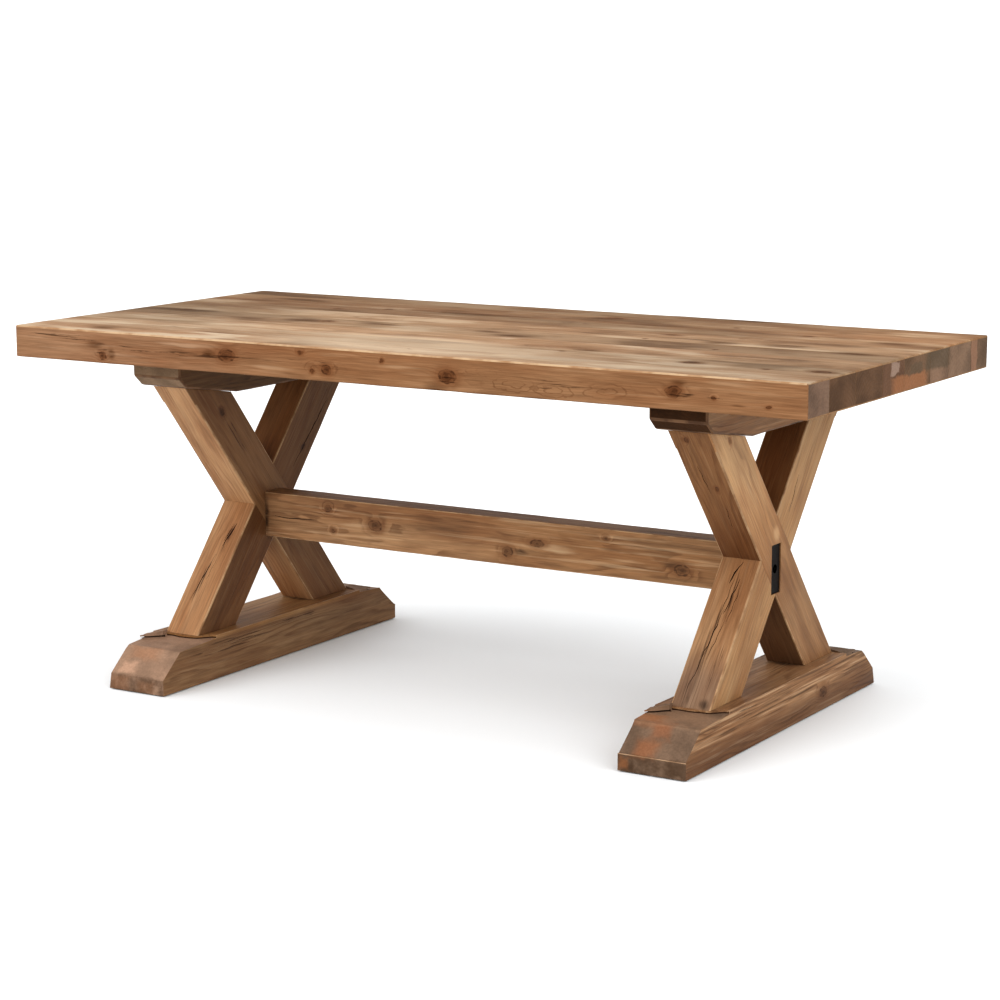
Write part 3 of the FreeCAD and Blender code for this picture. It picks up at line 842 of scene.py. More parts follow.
TOP_SMEARS = on_upright(
    FRONT_Y, (-0.200, 0.700, 0.005, 9.0), (-0.700, 0.732, 0.009, 3.2),
    (-0.657, 0.716, 0.014, 0.9), (-0.405, 0.733, 0.010, 2.2), (0.136, 0.698, 0.008, 3.5),
    (0.358, 0.693, 0.005, 8.0), (0.658, 0.734, 0.015, 1.4), (0.510, 0.716, 0.0042, 4.5),
    (0.410, 0.714, 0.0030, 5.0), (0.780, 0.708, 0.0030, 6.0)) + on_level(
    TOP_Z, (-0.800, -0.010, 0.028, 4.0), (-0.439, -0.056, 0.022, 3.0), (-0.259, -0.047, 0.020, 3.2),
    (-0.190, 0.230, 0.030, 4.0), (0.100, 0.310, 0.026, 2.0), (0.402, 0.424, 0.020, 3.0),
    (0.365, 0.103, 0.014, 2.5), (0.509, 0.029, 0.028, 1.8), (0.344, -0.210, 0.016, 2.8),
    (0.605, -0.281, 0.024, 1.7), (0.876, -0.282, 0.024, 1.8), (0.809, -0.005, 0.030, 2.2),
    (0.612, 0.225, 0.014, 2.0), (0.092, -0.072, 0.026, 2.5), (0.645, 0.043, 0.034, 2.0),
    (0.815, 0.187, 0.030, 2.2), (-0.699, 0.298, 0.026, 3.0), (-0.722, -0.390, 0.022, 2.2),
    (-0.376, -0.419, 0.006, 8.0), (0.015, -0.041, 0.022, 2.5))
# Pale places; the large ones across the front middle of the upper face are rubbed wear and also painted
# sheen.
TOP_RUBS_AND_SHEEN = on_upright(
    FRONT_Y, (-0.470, 0.748, 0.005, 14.0), (-0.250, 0.711, 0.005, 12.0),
    (0.050, 0.730, 0.006, 9.0), (0.760, 0.744, 0.007, 8.0)) + on_level(
    TOP_Z, (-0.838, 0.192, 0.022, 4.0), (-0.720, -0.179, 0.022, 4.0), (-0.167, -0.105, 0.022, 4.0),
    (0.337, -0.355, 0.040, 4.0), (0.590, -0.395, 0.030, 4.0), (0.242, 0.154, 0.022, 4.0),
    (0.800, 0.362, 0.026, 3.0), (-0.146, -0.328, 0.045, 4.0), (0.102, -0.311, 0.055, 4.0),
    (-0.050, -0.240, 0.060, 4.0), (0.000, -0.380, 0.050, 6.0))
TOP_WHORLS = on_upright(
    FRONT_Y, (0.310, 0.718, 0.010, 3.0), (0.400, 0.712, 0.008, 3.5),
    (0.510, 0.718, 0.010, 3.0), (-0.130, 0.716, 0.012, 2.2), (0.250, 0.738, 0.006, 5.0)) + on_level(
    TOP_Z, (-0.300, 0.060, 0.014, 4.0), (0.300, -0.200, 0.014, 5.0), (0.150, 0.200, 0.016, 4.0),
    (-0.500, -0.300, 0.014, 5.0), (0.620, 0.120, 0.014, 5.0), (-0.050, -0.380, 0.012, 5.0))
TOP_SPLITS = on_upright(
    FRONT_Y, (-0.780, 0.744, 0.004, 22.0), (-0.570, 0.731, 0.004, 26.0),
    (-0.330, 0.725, 0.004, 26.0), (-0.160, 0.731, 0.004, 14.0), (-0.684, 0.724, 0.010, 1.6),
    (-0.361, 0.722, 0.008, 4.0), (0.164, 0.716, 0.006, 3.0), (0.420, 0.726, 0.004, 14.0),
    (0.660, 0.727, 0.006, 4.0)) + on_level(
    TOP_Z, (0.855, 0.004, 0.004, 12.0), (0.700, -0.150, 0.010, 12.0), (0.300, 0.050, 0.012, 20.0),
    (-0.300, 0.240, 0.012, 20.0), (-0.600, -0.120, 0.010, 14.0))
print("marks", len(TOP_KNOTS + TOP_SMEARS + TOP_RUBS_AND_SHEEN + TOP_WHORLS + TOP_SPLITS))

# %% Looks of the eight boards
STAVE_LOOKS = [   # shade, how light its upper face is under its painted sheen, warmth, grey, where the log's heart lies
    (1.02, 1.20, 0.62, 0.25, (0.020, -0.075)), (1.12, 0.98, 0.40, 0.30, (-0.010, -0.060)),
    (1.04, 1.20, 0.44, 0.40, (0.030, -0.085)), (0.97, 0.98, 0.48, 0.38, (-0.020, -0.055)),
    (1.00, 1.02, 0.44, 0.32, (0.015, -0.070)), (0.91, 0.80, 0.52, 0.42, (-0.025, -0.060)),
    (0.92, 0.86, 0.48, 0.38, (0.020, -0.080)), (0.89, 0.72, 0.54, 0.40, (-0.010, -0.065)),
]
END_BASES = [     # the boards' end grain, from the front one to the back one
    tint(148, 117, 95), tint(122, 88, 60), tint(124, 90, 62), tint(128, 92, 66),
    tint(136, 104, 76), tint(160, 126, 100), tint(158, 126, 100), tint(138, 108, 82),
]
END_PATCHES = [   # place, half sizes, colour, strength
    ((END_X, 0.030, 0.708), (0.02, 0.085, 0.018), tint(176, 120, 80), 0.85),
    ((END_X, -0.045, 0.745), (0.02, 0.020, 0.012), tint(184, 155, 136), 0.8),
    ((END_X, 0.170, 0.742), (0.02, 0.060, 0.020), tint(106, 88, 66), 0.8),
    ((END_X, 0.060, 0.735), (0.02, 0.030, 0.010), tint(106, 88, 66), 0.6),
    ((END_X, 0.365, 0.728), (0.02, 0.016, 0.040), tint(188, 140, 110), 0.55),
    ((-END_X, -0.100, 0.715), (0.02, 0.070, 0.020), tint(176, 122, 84), 0.7),
    ((-END_X, 0.200, 0.735), (0.02, 0.050, 0.018), tint(98, 82, 62), 0.7),
]


def sheen_and_tone_sides(number, light):
    """How a board's faces differ. The upper face carries a painted sheen, paler and bluer towards the
    front, times the board's own lightness. Two stretches of it are darker, the middle of the left end
    and the front of the right end, and the back of the right end is lighter. The front board's front
    face is darker and warmer, and lighter and bluer towards the left."""
    upper, front = ("Z", 0.034), ("Y", -0.0465)
    painted_sheen = (1.06, 1.185 - 0.019 * number, 1.40 - 0.043 * number)
    sides = [(*upper, tuple(light * value for value in painted_sheen))]
    if 3 <= number <= 5:
        sides.append((*upper, (0.67, 0.67, 0.67), SIDE_DEPTH, (-0.35, -0.75)))
    if number <= 4:
        sides.append((*upper, (0.80, 0.80, 0.80), SIDE_DEPTH, (0.05, 0.65)))
    if number >= 6:
        sides.append((*upper, (1.42, 1.42, 1.42), SIDE_DEPTH, (0.42, 0.75)))
    if number == 1:
        sides.append((*front, (0.82, 0.71, 0.67)))
        sides.append((*front, (1.08, 1.13, 1.25), SIDE_DEPTH, (-0.1, -0.6)))
    return sides


def close_to(marks, low, high, reach=0.02):
    """The marks that may touch a board between two places across the table."""
    return [mark for mark in marks if low.y - reach < mark[0][1] < high.y + reach]


print("boards", len(STAVE_LOOKS))


# %% Finishes of a board
def stave_finishes(number, low, high):
    """The finish of a board's faces and the finish of its ends."""
    shade, light, warmth, grey, heart = STAVE_LOOKS[number - 1]
    grain, seed = along_x(tuple((low + high) / 2)), number * 3.7
    face = pine("stave_pine_%d" % number, grain, heart, seed, shade=shade, warmth=warmth, grey=grey * 0.6,
                late=0.22, red=0.3, broad=0.75, lines=0.10, bare=0.24, rough=0.5, shine=0.004,
                browns=TOP_BROWNS, sides=sheen_and_tone_sides(number, light), knots=close_to(TOP_KNOTS, low, high),
                smears=close_to(TOP_SMEARS, low, high), rubs=close_to(TOP_RUBS_AND_SHEEN, low, high),
                whorls=close_to(TOP_WHORLS, low, high), splits=close_to(TOP_SPLITS, low, high))
    ends = end_grain("stave_ends_%d" % number, grain, heart, seed, END_BASES[number - 1],
                     patches=close_to(END_PATCHES, low, high, 0.1), soft=0.2)
    return face, ends


# %% Make the boards
TOP_EDGES = (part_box("top_stave_1")[0].y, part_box("top_stave_8")[1].y)


def at_top_edge(y, reach=NEAR):
    """Whether a place across the table is at the front or back edge of the top."""
    return any(abs(y - edge) < reach for edge in TOP_EDGES)


staves = []
for number in range(1, len(STAVE_LOOKS) + 1):
    low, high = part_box("top_stave_%d" % number)
    face, ends = stave_finishes(number, low, high)
    stave = blank("stave_%d" % number, low, high)
    give_slots(stave, face, RUBBED_TOP, ends, CRACK_DUST_AND_SHADE)
    scribe(stave, [(x * 0.001 + 0.004 * math.sin(x), 0, 0) for x in range(-880, 900, 44)], (1, 0, 0))
    paint(stave, 2, lambda part: abs(part.normal.x) > 0.9)
    outer = at_top_edge(low.y) or at_top_edge(high.y)
    ease(stave, 0.0034, lambda spot: min(abs(spot.z - high.z), abs(spot.z - low.z)) < NEAR
         and (abs(abs(spot.x) - END_X) < NEAR or (outer and at_top_edge(spot.y))), 3, knocks=0.0018)
    if outer:
        ease(stave, 0.0022, lambda spot: abs(spot.x) > END_X - 0.003 and 0.70 < spot.z < 0.76
             and at_top_edge(spot.y, 0.003), 2, slot=0)
    paint(stave, 0, lambda part: part.material_index == 1 and (
        abs(part.calc_center_median().x) > END_X - 0.0035 or part.calc_center_median().z < 0.70))
    staves.append(stave)
    print(stave.name, "width", round(high.y - low.y, 3))

# %% Cut the grooves, screw holes and cracks of the boards
FRONT_CRACKS = [   # places along and up the front edge
    [(-0.866, 0.748), (-0.82, 0.745)], [(-0.790, 0.744), (-0.745, 0.743)],
    [(-0.640, 0.735), (-0.600, 0.733)], [(-0.490, 0.726), (-0.455, 0.722)],
    [(-0.150, 0.732), (-0.107, 0.732)],
    [(0.365, 0.717), (0.400, 0.715)],
    [(0.715, 0.722), (0.750, 0.721)],
]
# Where the screws go up through the bearers into the boards.
SCREWS = [(side * (TRESTLE_X + x), side * y) for side in (1, -1) for x, y in (
    (-0.050, -0.296), (0.050, -0.296), (0.0, -0.055), (0.0, 0.055), (-0.050, 0.296), (0.050, 0.296))]
for number, stave in enumerate(staves, start=1):
    low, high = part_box("top_stave_%d" % number)
    wood = stave.data.materials[0]
    tools = [tool_block((-0.855, y - 0.016, 0.724), (0.855, y + 0.016, 0.732), wood)
             for y in (low.y, high.y) if abs(abs(y) + FRONT_Y) > NEAR]
    tools += [tool_rod(place, 0.690, 0.731, 0.00305, wood) for place in SCREWS if low.y < place[1] < high.y]
    if number == 1:
        for seed, line in enumerate(FRONT_CRACKS, start=3):
            tools.append(tool_crack([(x, FRONT_Y, z) for x, z in line], 0.0012, 0.003, (0, -1, 0), seed))
    if number in (4, 5):
        tools.append(tool_crack([(0.79, 0.0, TOP_Z), (0.85, 0.001, TOP_Z), (0.909, -0.002, TOP_Z)],
                                0.003, 0.006, (0, 0, 1), 11))
    cut(stave, tools)
    hand_in(stave, "top_wood", "top_stave_%d" % number)

# %% [markdown]
# ## Feet and bearers
#
# A foot is a heavy sled with sawn toes. In front of each arm its top steps down by 6 mm along a
# ragged line, left by the axe, so the tool for that step is a block whose inner face is pushed in
# and out point by point. The step could be sculpted, but a few pushed points stay true to the millimetre
# and can be turned round for the other end. At one corner of the step a splinter has torn loose: it
# is joined to the foot and then undercut, so that a dark gap shows. A bearer is the same idea upside
# down, deeper in the middle than at its ends. One foot and one bearer are made, and turned copies of
# them, in other pieces of wood, stand under the other end.


# %% Finishes of the feet
FOOT_IN_X, FOOT_OUT_X = 0.540, 0.684   # a foot's sides


def frame_pine(name, grain, heart, seed, **more):
    """The darker, redder pine of the trestles."""
    looks = dict(shade=0.86, warmth=0.62, grey=0.35, late=0.55)
    looks.update(more)
    return pine(name, grain, heart, seed, **looks)


# The fourth, broad pale patch, on the slope in front of the step, is painted light on a face that the top
# shades.
FOOT_ENDS_RIGHT = [
    ((0.575, -0.366, 0.092), (0.036, 0.024, 0.012), tint(180, 122, 84), 0.5),
    ((0.608, -0.385, 0.078), (0.018, 0.020, 0.012), tint(174, 110, 72), 0.55),
    ((0.592, -0.430, 0.048), (0.022, 0.020, 0.014), tint(180, 116, 76), 0.6),
    ((0.612, -0.335, 0.094), (0.090, 0.045, 0.008), tint(188, 150, 120), 0.6),
    ((0.556, -0.350, 0.090), (0.030, 0.018, 0.008), tint(196, 134, 92), 0.6),
    ((0.612, -0.446, 0.016), (0.090, 0.008, 0.020), tint(86, 62, 42), 0.85),
    ((0.552, -0.440, 0.018), (0.010, 0.006, 0.012), tint(164, 108, 68), 0.7),
]
FOOT_ENDS_LEFT = [
    ((-0.612, -0.446, 0.016), (0.090, 0.008, 0.020), tint(100, 74, 54), 0.85),
    ((-0.647, -0.425, 0.049), (0.016, 0.014, 0.010), tint(224, 180, 150), 0.75),
    ((-0.625, -0.392, 0.077), (0.034, 0.014, 0.012), tint(196, 142, 106), 0.5),
    ((-0.660, -0.440, 0.018), (0.024, 0.006, 0.014), tint(164, 114, 80), 0.4),
    ((-0.590, -0.440, 0.016), (0.022, 0.006, 0.012), tint(164, 118, 86), 0.4),
]
GRAIN_RIGHT = along_y((TRESTLE_X, 0.0, 0.050))
GRAIN_LEFT = along_y((-TRESTLE_X, 0.0, 0.050))
# The right foot is darker towards the floor: painted shade. Its two dark marks on the upper face, where the
# arms stand on it, are painted shade with the dirt that gathers in those corners.
foot_face_right = frame_pine(
    "foot_pine_right", GRAIN_RIGHT, (-0.02, -0.070), 41.0, shade=1.16, grey=0.14, comb=0.6, lines=0.25,
    warmth=0.72, sides=[("Z", -0.055, (0.62, 0.62, 0.66), 0.065)],
    knots=[((FOOT_OUT_X, 0.175, 0.040), 0.010, 1.6)],
    smears=on_level(FOOT_TOP_Z, (TRESTLE_X, 0.140, 0.044, 0.35), (TRESTLE_X, -0.140, 0.040, 0.3)),
    splits=[((FOOT_OUT_X, -0.230, 0.080), 0.010, 9.0)])
# The left foot's upper face is lighter: painted light from above. Its two dark marks where the arms stand on
# it are painted shade with the dirt that gathers in those corners.
foot_face_left = frame_pine(
    "foot_pine_left", GRAIN_LEFT, (0.02, -0.070), 47.0, shade=0.82, grey=0.15, late=0.4, lines=0.2, bare=0.2,
    smears=on_level(FOOT_TOP_Z, (-TRESTLE_X, 0.142, 0.044, 0.25), (-TRESTLE_X, -0.142, 0.040, 0.25)),
    sides=[("Z", 0.047, (1.36, 1.34, 1.18), 0.012)],
    splits=[((-FOOT_IN_X, -0.200, 0.070), 0.010, 12.0), ((-FOOT_IN_X, 0.050, 0.080), 0.006, 9.0)])
foot_ends_right = end_grain("foot_ends_right", GRAIN_RIGHT, (-0.02, -0.070), 41.0, tint(152, 124, 102),
                            patches=FOOT_ENDS_RIGHT, soft=0.6)
foot_ends_left = end_grain("foot_ends_left", GRAIN_LEFT, (-0.02, -0.070), 43.0, tint(190, 154, 128),
                           patches=FOOT_ENDS_LEFT, soft=0.5)
print("foot finishes", foot_face_right.name, foot_face_left.name)

# %% The tool for a foot's ragged step
# How far in each point of the ragged line lies. The back line starts at the trestle's inner side, and
# the front one, whose tool is turned round, at its outer side.
LIP_FRONT = (0.030, 0.026, 0.004, 0.001, -0.003, -0.001, -0.003, -0.004, -0.004)
LIP_BACK = (0.034, 0.030, 0.003, -0.002, -0.004, 0.001, -0.002, -0.004, -0.002)
STEP_Y, STEP_Z = 0.292, 0.091      # where the foot steps down, and the level that it steps down to
LIP_X, LIP_PITCH = 0.530, 0.0205   # where the tool starts, and how far apart its pushed points are
UNDERCUT_Z = 0.0935                # the ragged face is dark below this
FALL = 0.0062                      # how much lower the step's outer end lies


def lip_tool(side, pushes, finish):
    """A block over the foot's shoulder whose inner face follows the ragged step."""
    tool = tool_block((LIP_X, STEP_Y, STEP_Z), (0.694, 0.470, 0.130), finish)
    columns = [LIP_X + LIP_PITCH * number for number in range(len(pushes))]
    scribe(tool, [(x, 0, 0) for x in columns[1:-1]], (1, 0, 0))
    scribe(tool, [(0, 0, UNDERCUT_Z)], (0, 0, 1))
    # The lowest strip of the step's face gets the dark crack finish: a painted shadow line under the step.
    tool.data.materials.append(CRACK_DUST_AND_SHADE)
    paint(tool, 1, lambda part: part.normal.y < -0.9 and part.calc_center_median().z < UNDERCUT_Z)
    open_mesh(tool)
    for x, inwards in zip(columns, pushes):
        push(tool, lambda spot: abs(spot.x - x) < NEAR and spot.y < 0.35, (0.0, -inwards, 0.0))
    push(tool, lambda spot: spot.y < 0.36 and spot.z < 0.1, (0.0, -0.005, 0.0))
    push(tool, lambda spot: spot.y > 0.46 and spot.z < 0.1, (0.0, 0.0, -FALL))
    close_mesh()
    if side < 0:
        turn_about(tool, TRESTLE_X)
    return tool


# %% The torn splinter
SPLINTER = (Vector((0.5410, -0.338, 0.0885)), Vector((0.5760, -0.286, 0.0965)))
# The gap under the splinter is a thin cut whose faces get the dark crack finish: a painted shadow.
GAP = ((0.5258, -0.3235, 0.0902), (0.5858, -0.3109, 0.0930))   # the dark gap under it
GAP_TURN = (0.0, 0.0, 0.81)                                    # along its slanting side


def tool_splinter(finish):
    """A torn splinter with one slanting side, which stands up where it passes into the timber."""
    low, high = SPLINTER
    splinter = tool_block(low, high, finish)
    open_mesh(splinter)
    push(splinter, lambda spot: spot.x > high.x - NEAR and spot.y < low.y + NEAR,
         (0.0, 0.7 * (high.y - low.y), 0.0))
    push(splinter, lambda spot: spot.x > high.x - NEAR and spot.z > high.z - NEAR, (0.0, 0.0, 0.007))
    bpy.ops.mesh.select_all(action="SELECT")
    bpy.ops.mesh.subdivide(number_cuts=5)
    close_mesh()
    knock(splinter, 0.012, 0.005, 0.6)
    apply_all(splinter)
    return splinter


# %% Shape a foot
TOE_Y, TOE_Z = 0.440, 0.036   # where the chamfer of a toe starts


def make_foot(face, ends):
    """The right foot, with its chamfered toes, its ragged steps and what is cut into it."""
    foot = blank("foot", *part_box("foot_right"))
    give_slots(foot, face, RUBBED_FOOT, ends, CRACK_DUST_AND_SHADE)
    for side in BOTH:
        saw(foot, (0, side * TOE_Y, TOE_Z), (0, side * 0.052, 0.062))
    cut(foot, [lip_tool(1, LIP_BACK, face)])
    cut(foot, [lip_tool(-1, LIP_FRONT, face)])
    scribe(foot, [(0, y * 0.001, 0) for y in range(-260, 280, 40)], (0, 1, 0))
    scribe(foot, [(0, 0, 0.034), (0, 0, 0.078), (0, 0, 0.086)], (0, 0, 1))
    paint(foot, 2, lambda part: part.material_index == 0 and abs(part.calc_center_median().y) > STEP_Y + 0.001
          and (abs(part.normal.y) > 0.5 or part.normal.z > 0.5))
    ease(foot, 0.0055, lambda spot: spot.z > 0.02 and abs(abs(spot.x - TRESTLE_X) - 0.072) < NEAR
         and abs(spot.y) < 0.29, 2, knocks=0.0025)
    ease(foot, 0.0012, lambda spot: abs(spot.z - TOE_Z) < NEAR and spot.y < -0.43
         and abs(spot.x - TRESTLE_X) < 0.07)
    ease(foot, 0.004, lambda spot: spot.y < -0.37 and spot.z > 0.037, 2, slot=2, knocks=0.006, size=0.03)
    ease(foot, 0.006, lambda spot: spot.y > 0.37 and spot.z > 0.030, 3, slot=2, knocks=0.009, size=0.03)
    for side in BOTH:
        splinter, gap = tool_splinter(ends), tool_block(*GAP, CRACK_DUST_AND_SHADE, GAP_TURN)
        if side > 0:
            turn_about(splinter, TRESTLE_X)
            turn_about(gap, TRESTLE_X)
        cut(foot, [splinter], "UNION")
        cut(foot, [gap])
    arms_at = [side * ARM_FOOT_Y for side in BOTH]
    tools = [tool_tenon(y, 0.055, 0.11, face) for y in arms_at]
    tools += [tool_rod((TRESTLE_X, y), -0.01, 0.0145, 0.013, face) for y in arms_at]
    tools += [tool_rod((TRESTLE_X, y), 0.0, 0.06, 0.0055, face) for y in arms_at]
    tools += [tool_rod((TRESTLE_X + x, y), -0.01, 0.005, 0.01505, face) for x in (-0.042, 0.042)
              for y in (-0.395, 0.395)]
    cut(foot, tools)
    return foot


foot_right = make_foot(foot_face_right, foot_ends_right)
foot_left = turned_copy(foot_right, "foot_left_worn")
foot_right.name = foot_right.data.name = "foot_right_worn"
foot_left.data.materials[0] = foot_face_left
foot_left.data.materials[2] = foot_ends_left
hand_in(foot_right, "frame_wood", "foot_right")
hand_in(foot_left, "frame_wood", "foot_left")


# %% Shape a bearer
def make_bearer(face, ends):
    """The right bearer, sawn shallower towards its ends, with its mortises and screw holes."""
    bearer = blank("bearer", *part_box("bearer_right"))
    give_slots(bearer, face, RUBBED_DARK, ends)
    for side in BOTH:
        saw(bearer, (0, side * 0.350, 0.659), (0, side * 0.022, -0.026))
        saw(bearer, (0, side * 0.150, BEARER_BOTTOM_Z), (0, side * 0.027, -0.174))
    scribe(bearer, [(0, y * 0.001, 0) for y in range(-300, 310, 40)], (0, 1, 0))
    paint(bearer, 2, lambda part: abs(part.normal.y) > 0.5)
    ease(bearer, 0.004, lambda spot: spot.z < 0.69, 2, knocks=0.002)
    arms_at = [side * ARM_HEAD_Y for side in BOTH]
    tools = [tool_tenon(y, 0.55, 0.676, face) for y in arms_at]
    tools += [tool_rod((TRESTLE_X, y), 0.67, 0.70, 0.0055, face) for y in arms_at]
    tools += [tool_rod((TRESTLE_X, y), 0.682, 0.70, 0.013, face) for y in arms_at]
    tools += [tool_rod(place, 0.600, 0.655, 0.0065, face) for place in SCREWS if place[0] > 0]
    tools += [tool_rod(place, 0.650, 0.700, 0.0035, face) for place in SCREWS if place[0] > 0]
    cut(bearer, tools)
    return bearer


def bearer_finishes(word, side, seed, end_colour, **more):
    """The finish of a bearer's faces and the finish of its ends."""
    grain, heart = along_y((side * TRESTLE_X, 0.0, 0.655)), (0.015, -0.060)
    return (frame_pine("bearer_pine_" + word, grain, heart, seed, **more),
            end_grain("bearer_ends_" + word, grain, heart, seed, end_colour))


# The right bearer's ends are much darker than the left's: painted shade where the top shades them, on darker
# end grain.
bearer_right = make_bearer(*bearer_finishes("right", 1, 53.0, tint(88, 55, 26), shade=1.15, grey=0.1))
# The left bearer's side towards the middle of the table is darker: painted shade under the top.
bearer_left = turned_copy(bearer_right, "bearer_left_worn")
bearer_left.data.materials[0], bearer_left.data.materials[2] = bearer_finishes(
    "left", -1, 57.0, tint(176, 144, 114), shade=1.0, grey=0.3, sides=[("Y", -0.062, (0.45, 0.40, 0.34))])
bearer_right.name = bearer_right.data.name = "bearer_right_worn"
hand_in(bearer_right, "frame_wood", "bearer_right")
hand_in(bearer_left, "frame_wood", "bearer_left")

# %% [markdown]
# ## The crossed arms
#
# Each X is two square timbers at 40 degrees from the upright, halved into each other so that their
# faces are flush. An arm could be made upright and leaned at the end, but then each level cut would
# have to be worked out. Here the blank is turned to its lean first, so it is sawn level on the foot
# and along the bearer with plain planes. Its long arrises are eased only outside the crossing: inside
# it they would leave a groove.

# %% Shape an arm
CROSSING = Vector((TRESTLE_X, 0.0, CROSSING_Z))
LEAN = math.radians(40.0)
ARM_HALF = Vector((0.043, 0.053, 0.6))   # half its blank: along the table, across the arm, along it


def make_arm(name, front_top, face):
    """An arm of the right X. Where the two cross, the one with its head in front loses its inner half
    and the other one its outer half."""
    lean = LEAN if front_top else -LEAN
    side = -1 if front_top else 1
    axis = Vector((0, -math.sin(lean), math.cos(lean)))
    other = Vector((0, math.cos(lean), -math.sin(lean)))
    arm = blank(name, CROSSING - ARM_HALF, CROSSING + ARM_HALF, (lean, 0.0, 0.0))
    give_slots(arm, face, RUBBED_FRAME, CRACK_DUST_AND_SHADE)
    saw(arm, (0, 0, FOOT_TOP_Z), (0, 0, -1))
    saw(arm, (0, side * 0.150, BEARER_BOTTOM_Z), (0, -side * 0.027, 0.174))
    scribe(arm, [CROSSING + axis * step * 0.045 for step in range(-7, 9) if abs(step) > 2], axis)
    scribe(arm, [CROSSING + other * 0.053, CROSSING - other * 0.053], other)
    ease(arm, 0.003, lambda spot: abs((spot - CROSSING).dot(other)) > 0.0532 and 0.100 < spot.z < 0.605, 2,
         knocks=0.0009)
    half = (CROSSING.x - 0.05, CROSSING.x) if front_top else (CROSSING.x, CROSSING.x + 0.05)
    cut(arm, [tool_block((half[0], -0.053, CROSSING.z - 0.4), (half[1], 0.053, CROSSING.z + 0.4), face,
                         (-lean, 0.0, 0.0))])
    foot_y, head_y = -side * ARM_FOOT_Y, side * ARM_HEAD_Y
    cut(arm, [tool_tenon(foot_y, 0.057, 0.101, face)], "UNION")
    cut(arm, [tool_tenon(head_y, 0.606, 0.674, face)], "UNION")
    cut(arm, [tool_block((0.560, -0.016, 0.278), (0.660, 0.016, 0.370), face)])
    cut(arm, [tool_block((0.647, -0.021, 0.274), (0.670, 0.021, 0.374), face)])
    cut(arm, [tool_rod((TRESTLE_X, foot_y), 0.0, 0.122, 0.00505, face),
              tool_rod((TRESTLE_X, head_y), 0.5745, 0.70, 0.00505, face)])
    return arm


def front_face(x, z):
    """A place on the front of an X, above or below its crossing."""
    return (x, -0.0692 - abs(z - CROSSING_Z) * 0.8391, z)


# %% Marks and shades of the arms
ARM_KNOTS = {
    "right_a": [(front_face(0.600, 0.617), 0.0045, 1.6), (front_face(0.622, 0.510), 0.004, 1.8),
                ((ARM_OUT_X, -0.217, 0.610), 0.0045, 1.6)],
    "left_a": [((-ARM_IN_X, 0.114, 0.454), 0.004, 1.5), (front_face(-0.600, 0.290), 0.004, 3.0)],
    "left_b": [((-ARM_IN_X, -0.183, 0.569), 0.006, 1.5)],
}
ARM_SMEARS = {"right_b": [(front_face(0.642, 0.106), 0.011, 1.3), (front_face(0.600, 0.110), 0.006, 3.0)]}
ARM_SPLITS = {
    "right_b": [(front_face(0.616, 0.300), 0.007, 7.0), (front_face(0.604, 0.210), 0.007, 9.0),
                (front_face(0.635, 0.170), 0.005, 9.0), (front_face(0.590, 0.120), 0.006, 4.0)],
    "left_a": [(front_face(-0.604, 0.285), 0.005, 7.0), (front_face(-0.622, 0.200), 0.005, 9.0),
               ((-ARM_IN_X, -0.020, 0.300), 0.005, 9.0)],
    "left_b": [((-ARM_IN_X, -0.140, 0.520), 0.006, 8.0)],
}


def shade_above_crossing(factors):
    """Painted shade on both edges of an arm, from its crossing up, where the top and the bearer shade it."""
    return [("Y", place, factors, SIDE_DEPTH, (-0.02, 0.10)) for place in (0.053, -0.053)]


# The sides paint light and shade. The right arms' outer faces are lighter: painted light from the right. The
# left arms' faces towards the middle are darker: painted shade under the table. Three arms get painted shade
# on both edges above the crossing, under the top. right_a is also darker towards its foot and round its
# crossing, and right_b's front face is darker and bluer near its foot.
ARM_LOOKS = {   # seed, shade and sides
    "right_a": (61.0, 0.96, [("Z", -0.043, (2.03, 2.17, 2.15)), ("X", -0.35, (0.56, 0.51, 0.49), 0.6),
                             ("X", 0.02, (0.90, 0.84, 0.78), 0.17), *shade_above_crossing((0.98, 0.89, 0.80))]),
    "right_b": (67.0, 1.22, [("Z", -0.043, (1.25, 1.36, 1.34)), *shade_above_crossing((0.62, 0.5, 0.4)),
                             ("Y", -0.053, (0.71, 0.77, 0.94), SIDE_DEPTH, (-0.23, -0.33))]),
    "left_a": (71.0, 1.42, [("Z", -0.043, (0.5, 0.46, 0.42)), *shade_above_crossing((0.66, 0.57, 0.48))]),
    "left_b": (79.0, 1.60, [("Z", -0.043, (0.5, 0.46, 0.42))]),
}


def arm_finish(key, side, lean, rubs=()):
    """The pine of one arm, with its own marks and shades."""
    seed, shade, sides = ARM_LOOKS[key]
    return frame_pine("arm_pine_" + key, along_arm((side * TRESTLE_X, 0.0, CROSSING_Z), lean),
                      (0.02, -0.070 * side), seed, knots=ARM_KNOTS.get(key, ()), rubs=rubs,
                      smears=ARM_SMEARS.get(key, ()), splits=ARM_SPLITS.get(key, ()), sides=sides,
                      shade=shade, grey=0.2, lines=0.14, bare=0.15, late=0.3)


print("arm looks", len(ARM_LOOKS))

# %% Make the four arms
arms = {}
for letter, front_top in (("a", True), ("b", False)):
    lean = LEAN if front_top else -LEAN
    right, left = "right_" + letter, "left_" + letter
    arms[right] = make_arm("arm_%s_worn" % right, front_top,
                           arm_finish(right, 1, lean, [((ARM_OUT_X, -0.004, 0.392), 0.013, 1.3)]))
    arms[left] = turned_copy(arms[right], "arm_%s_worn" % left)
    arms[left].data.materials[0] = arm_finish(left, -1, -lean)


# %% Open the arms' drying cracks
def open_cracks(arm, seed, *lines):
    """Fine cracks down the front of an arm; lines are (width, places across and up)."""
    cut(arm, [tool_crack([front_face(x, z) for x, z in places], width, 0.009, (0, -1, -0.8), seed + number)
              for number, (width, places) in enumerate(lines)])


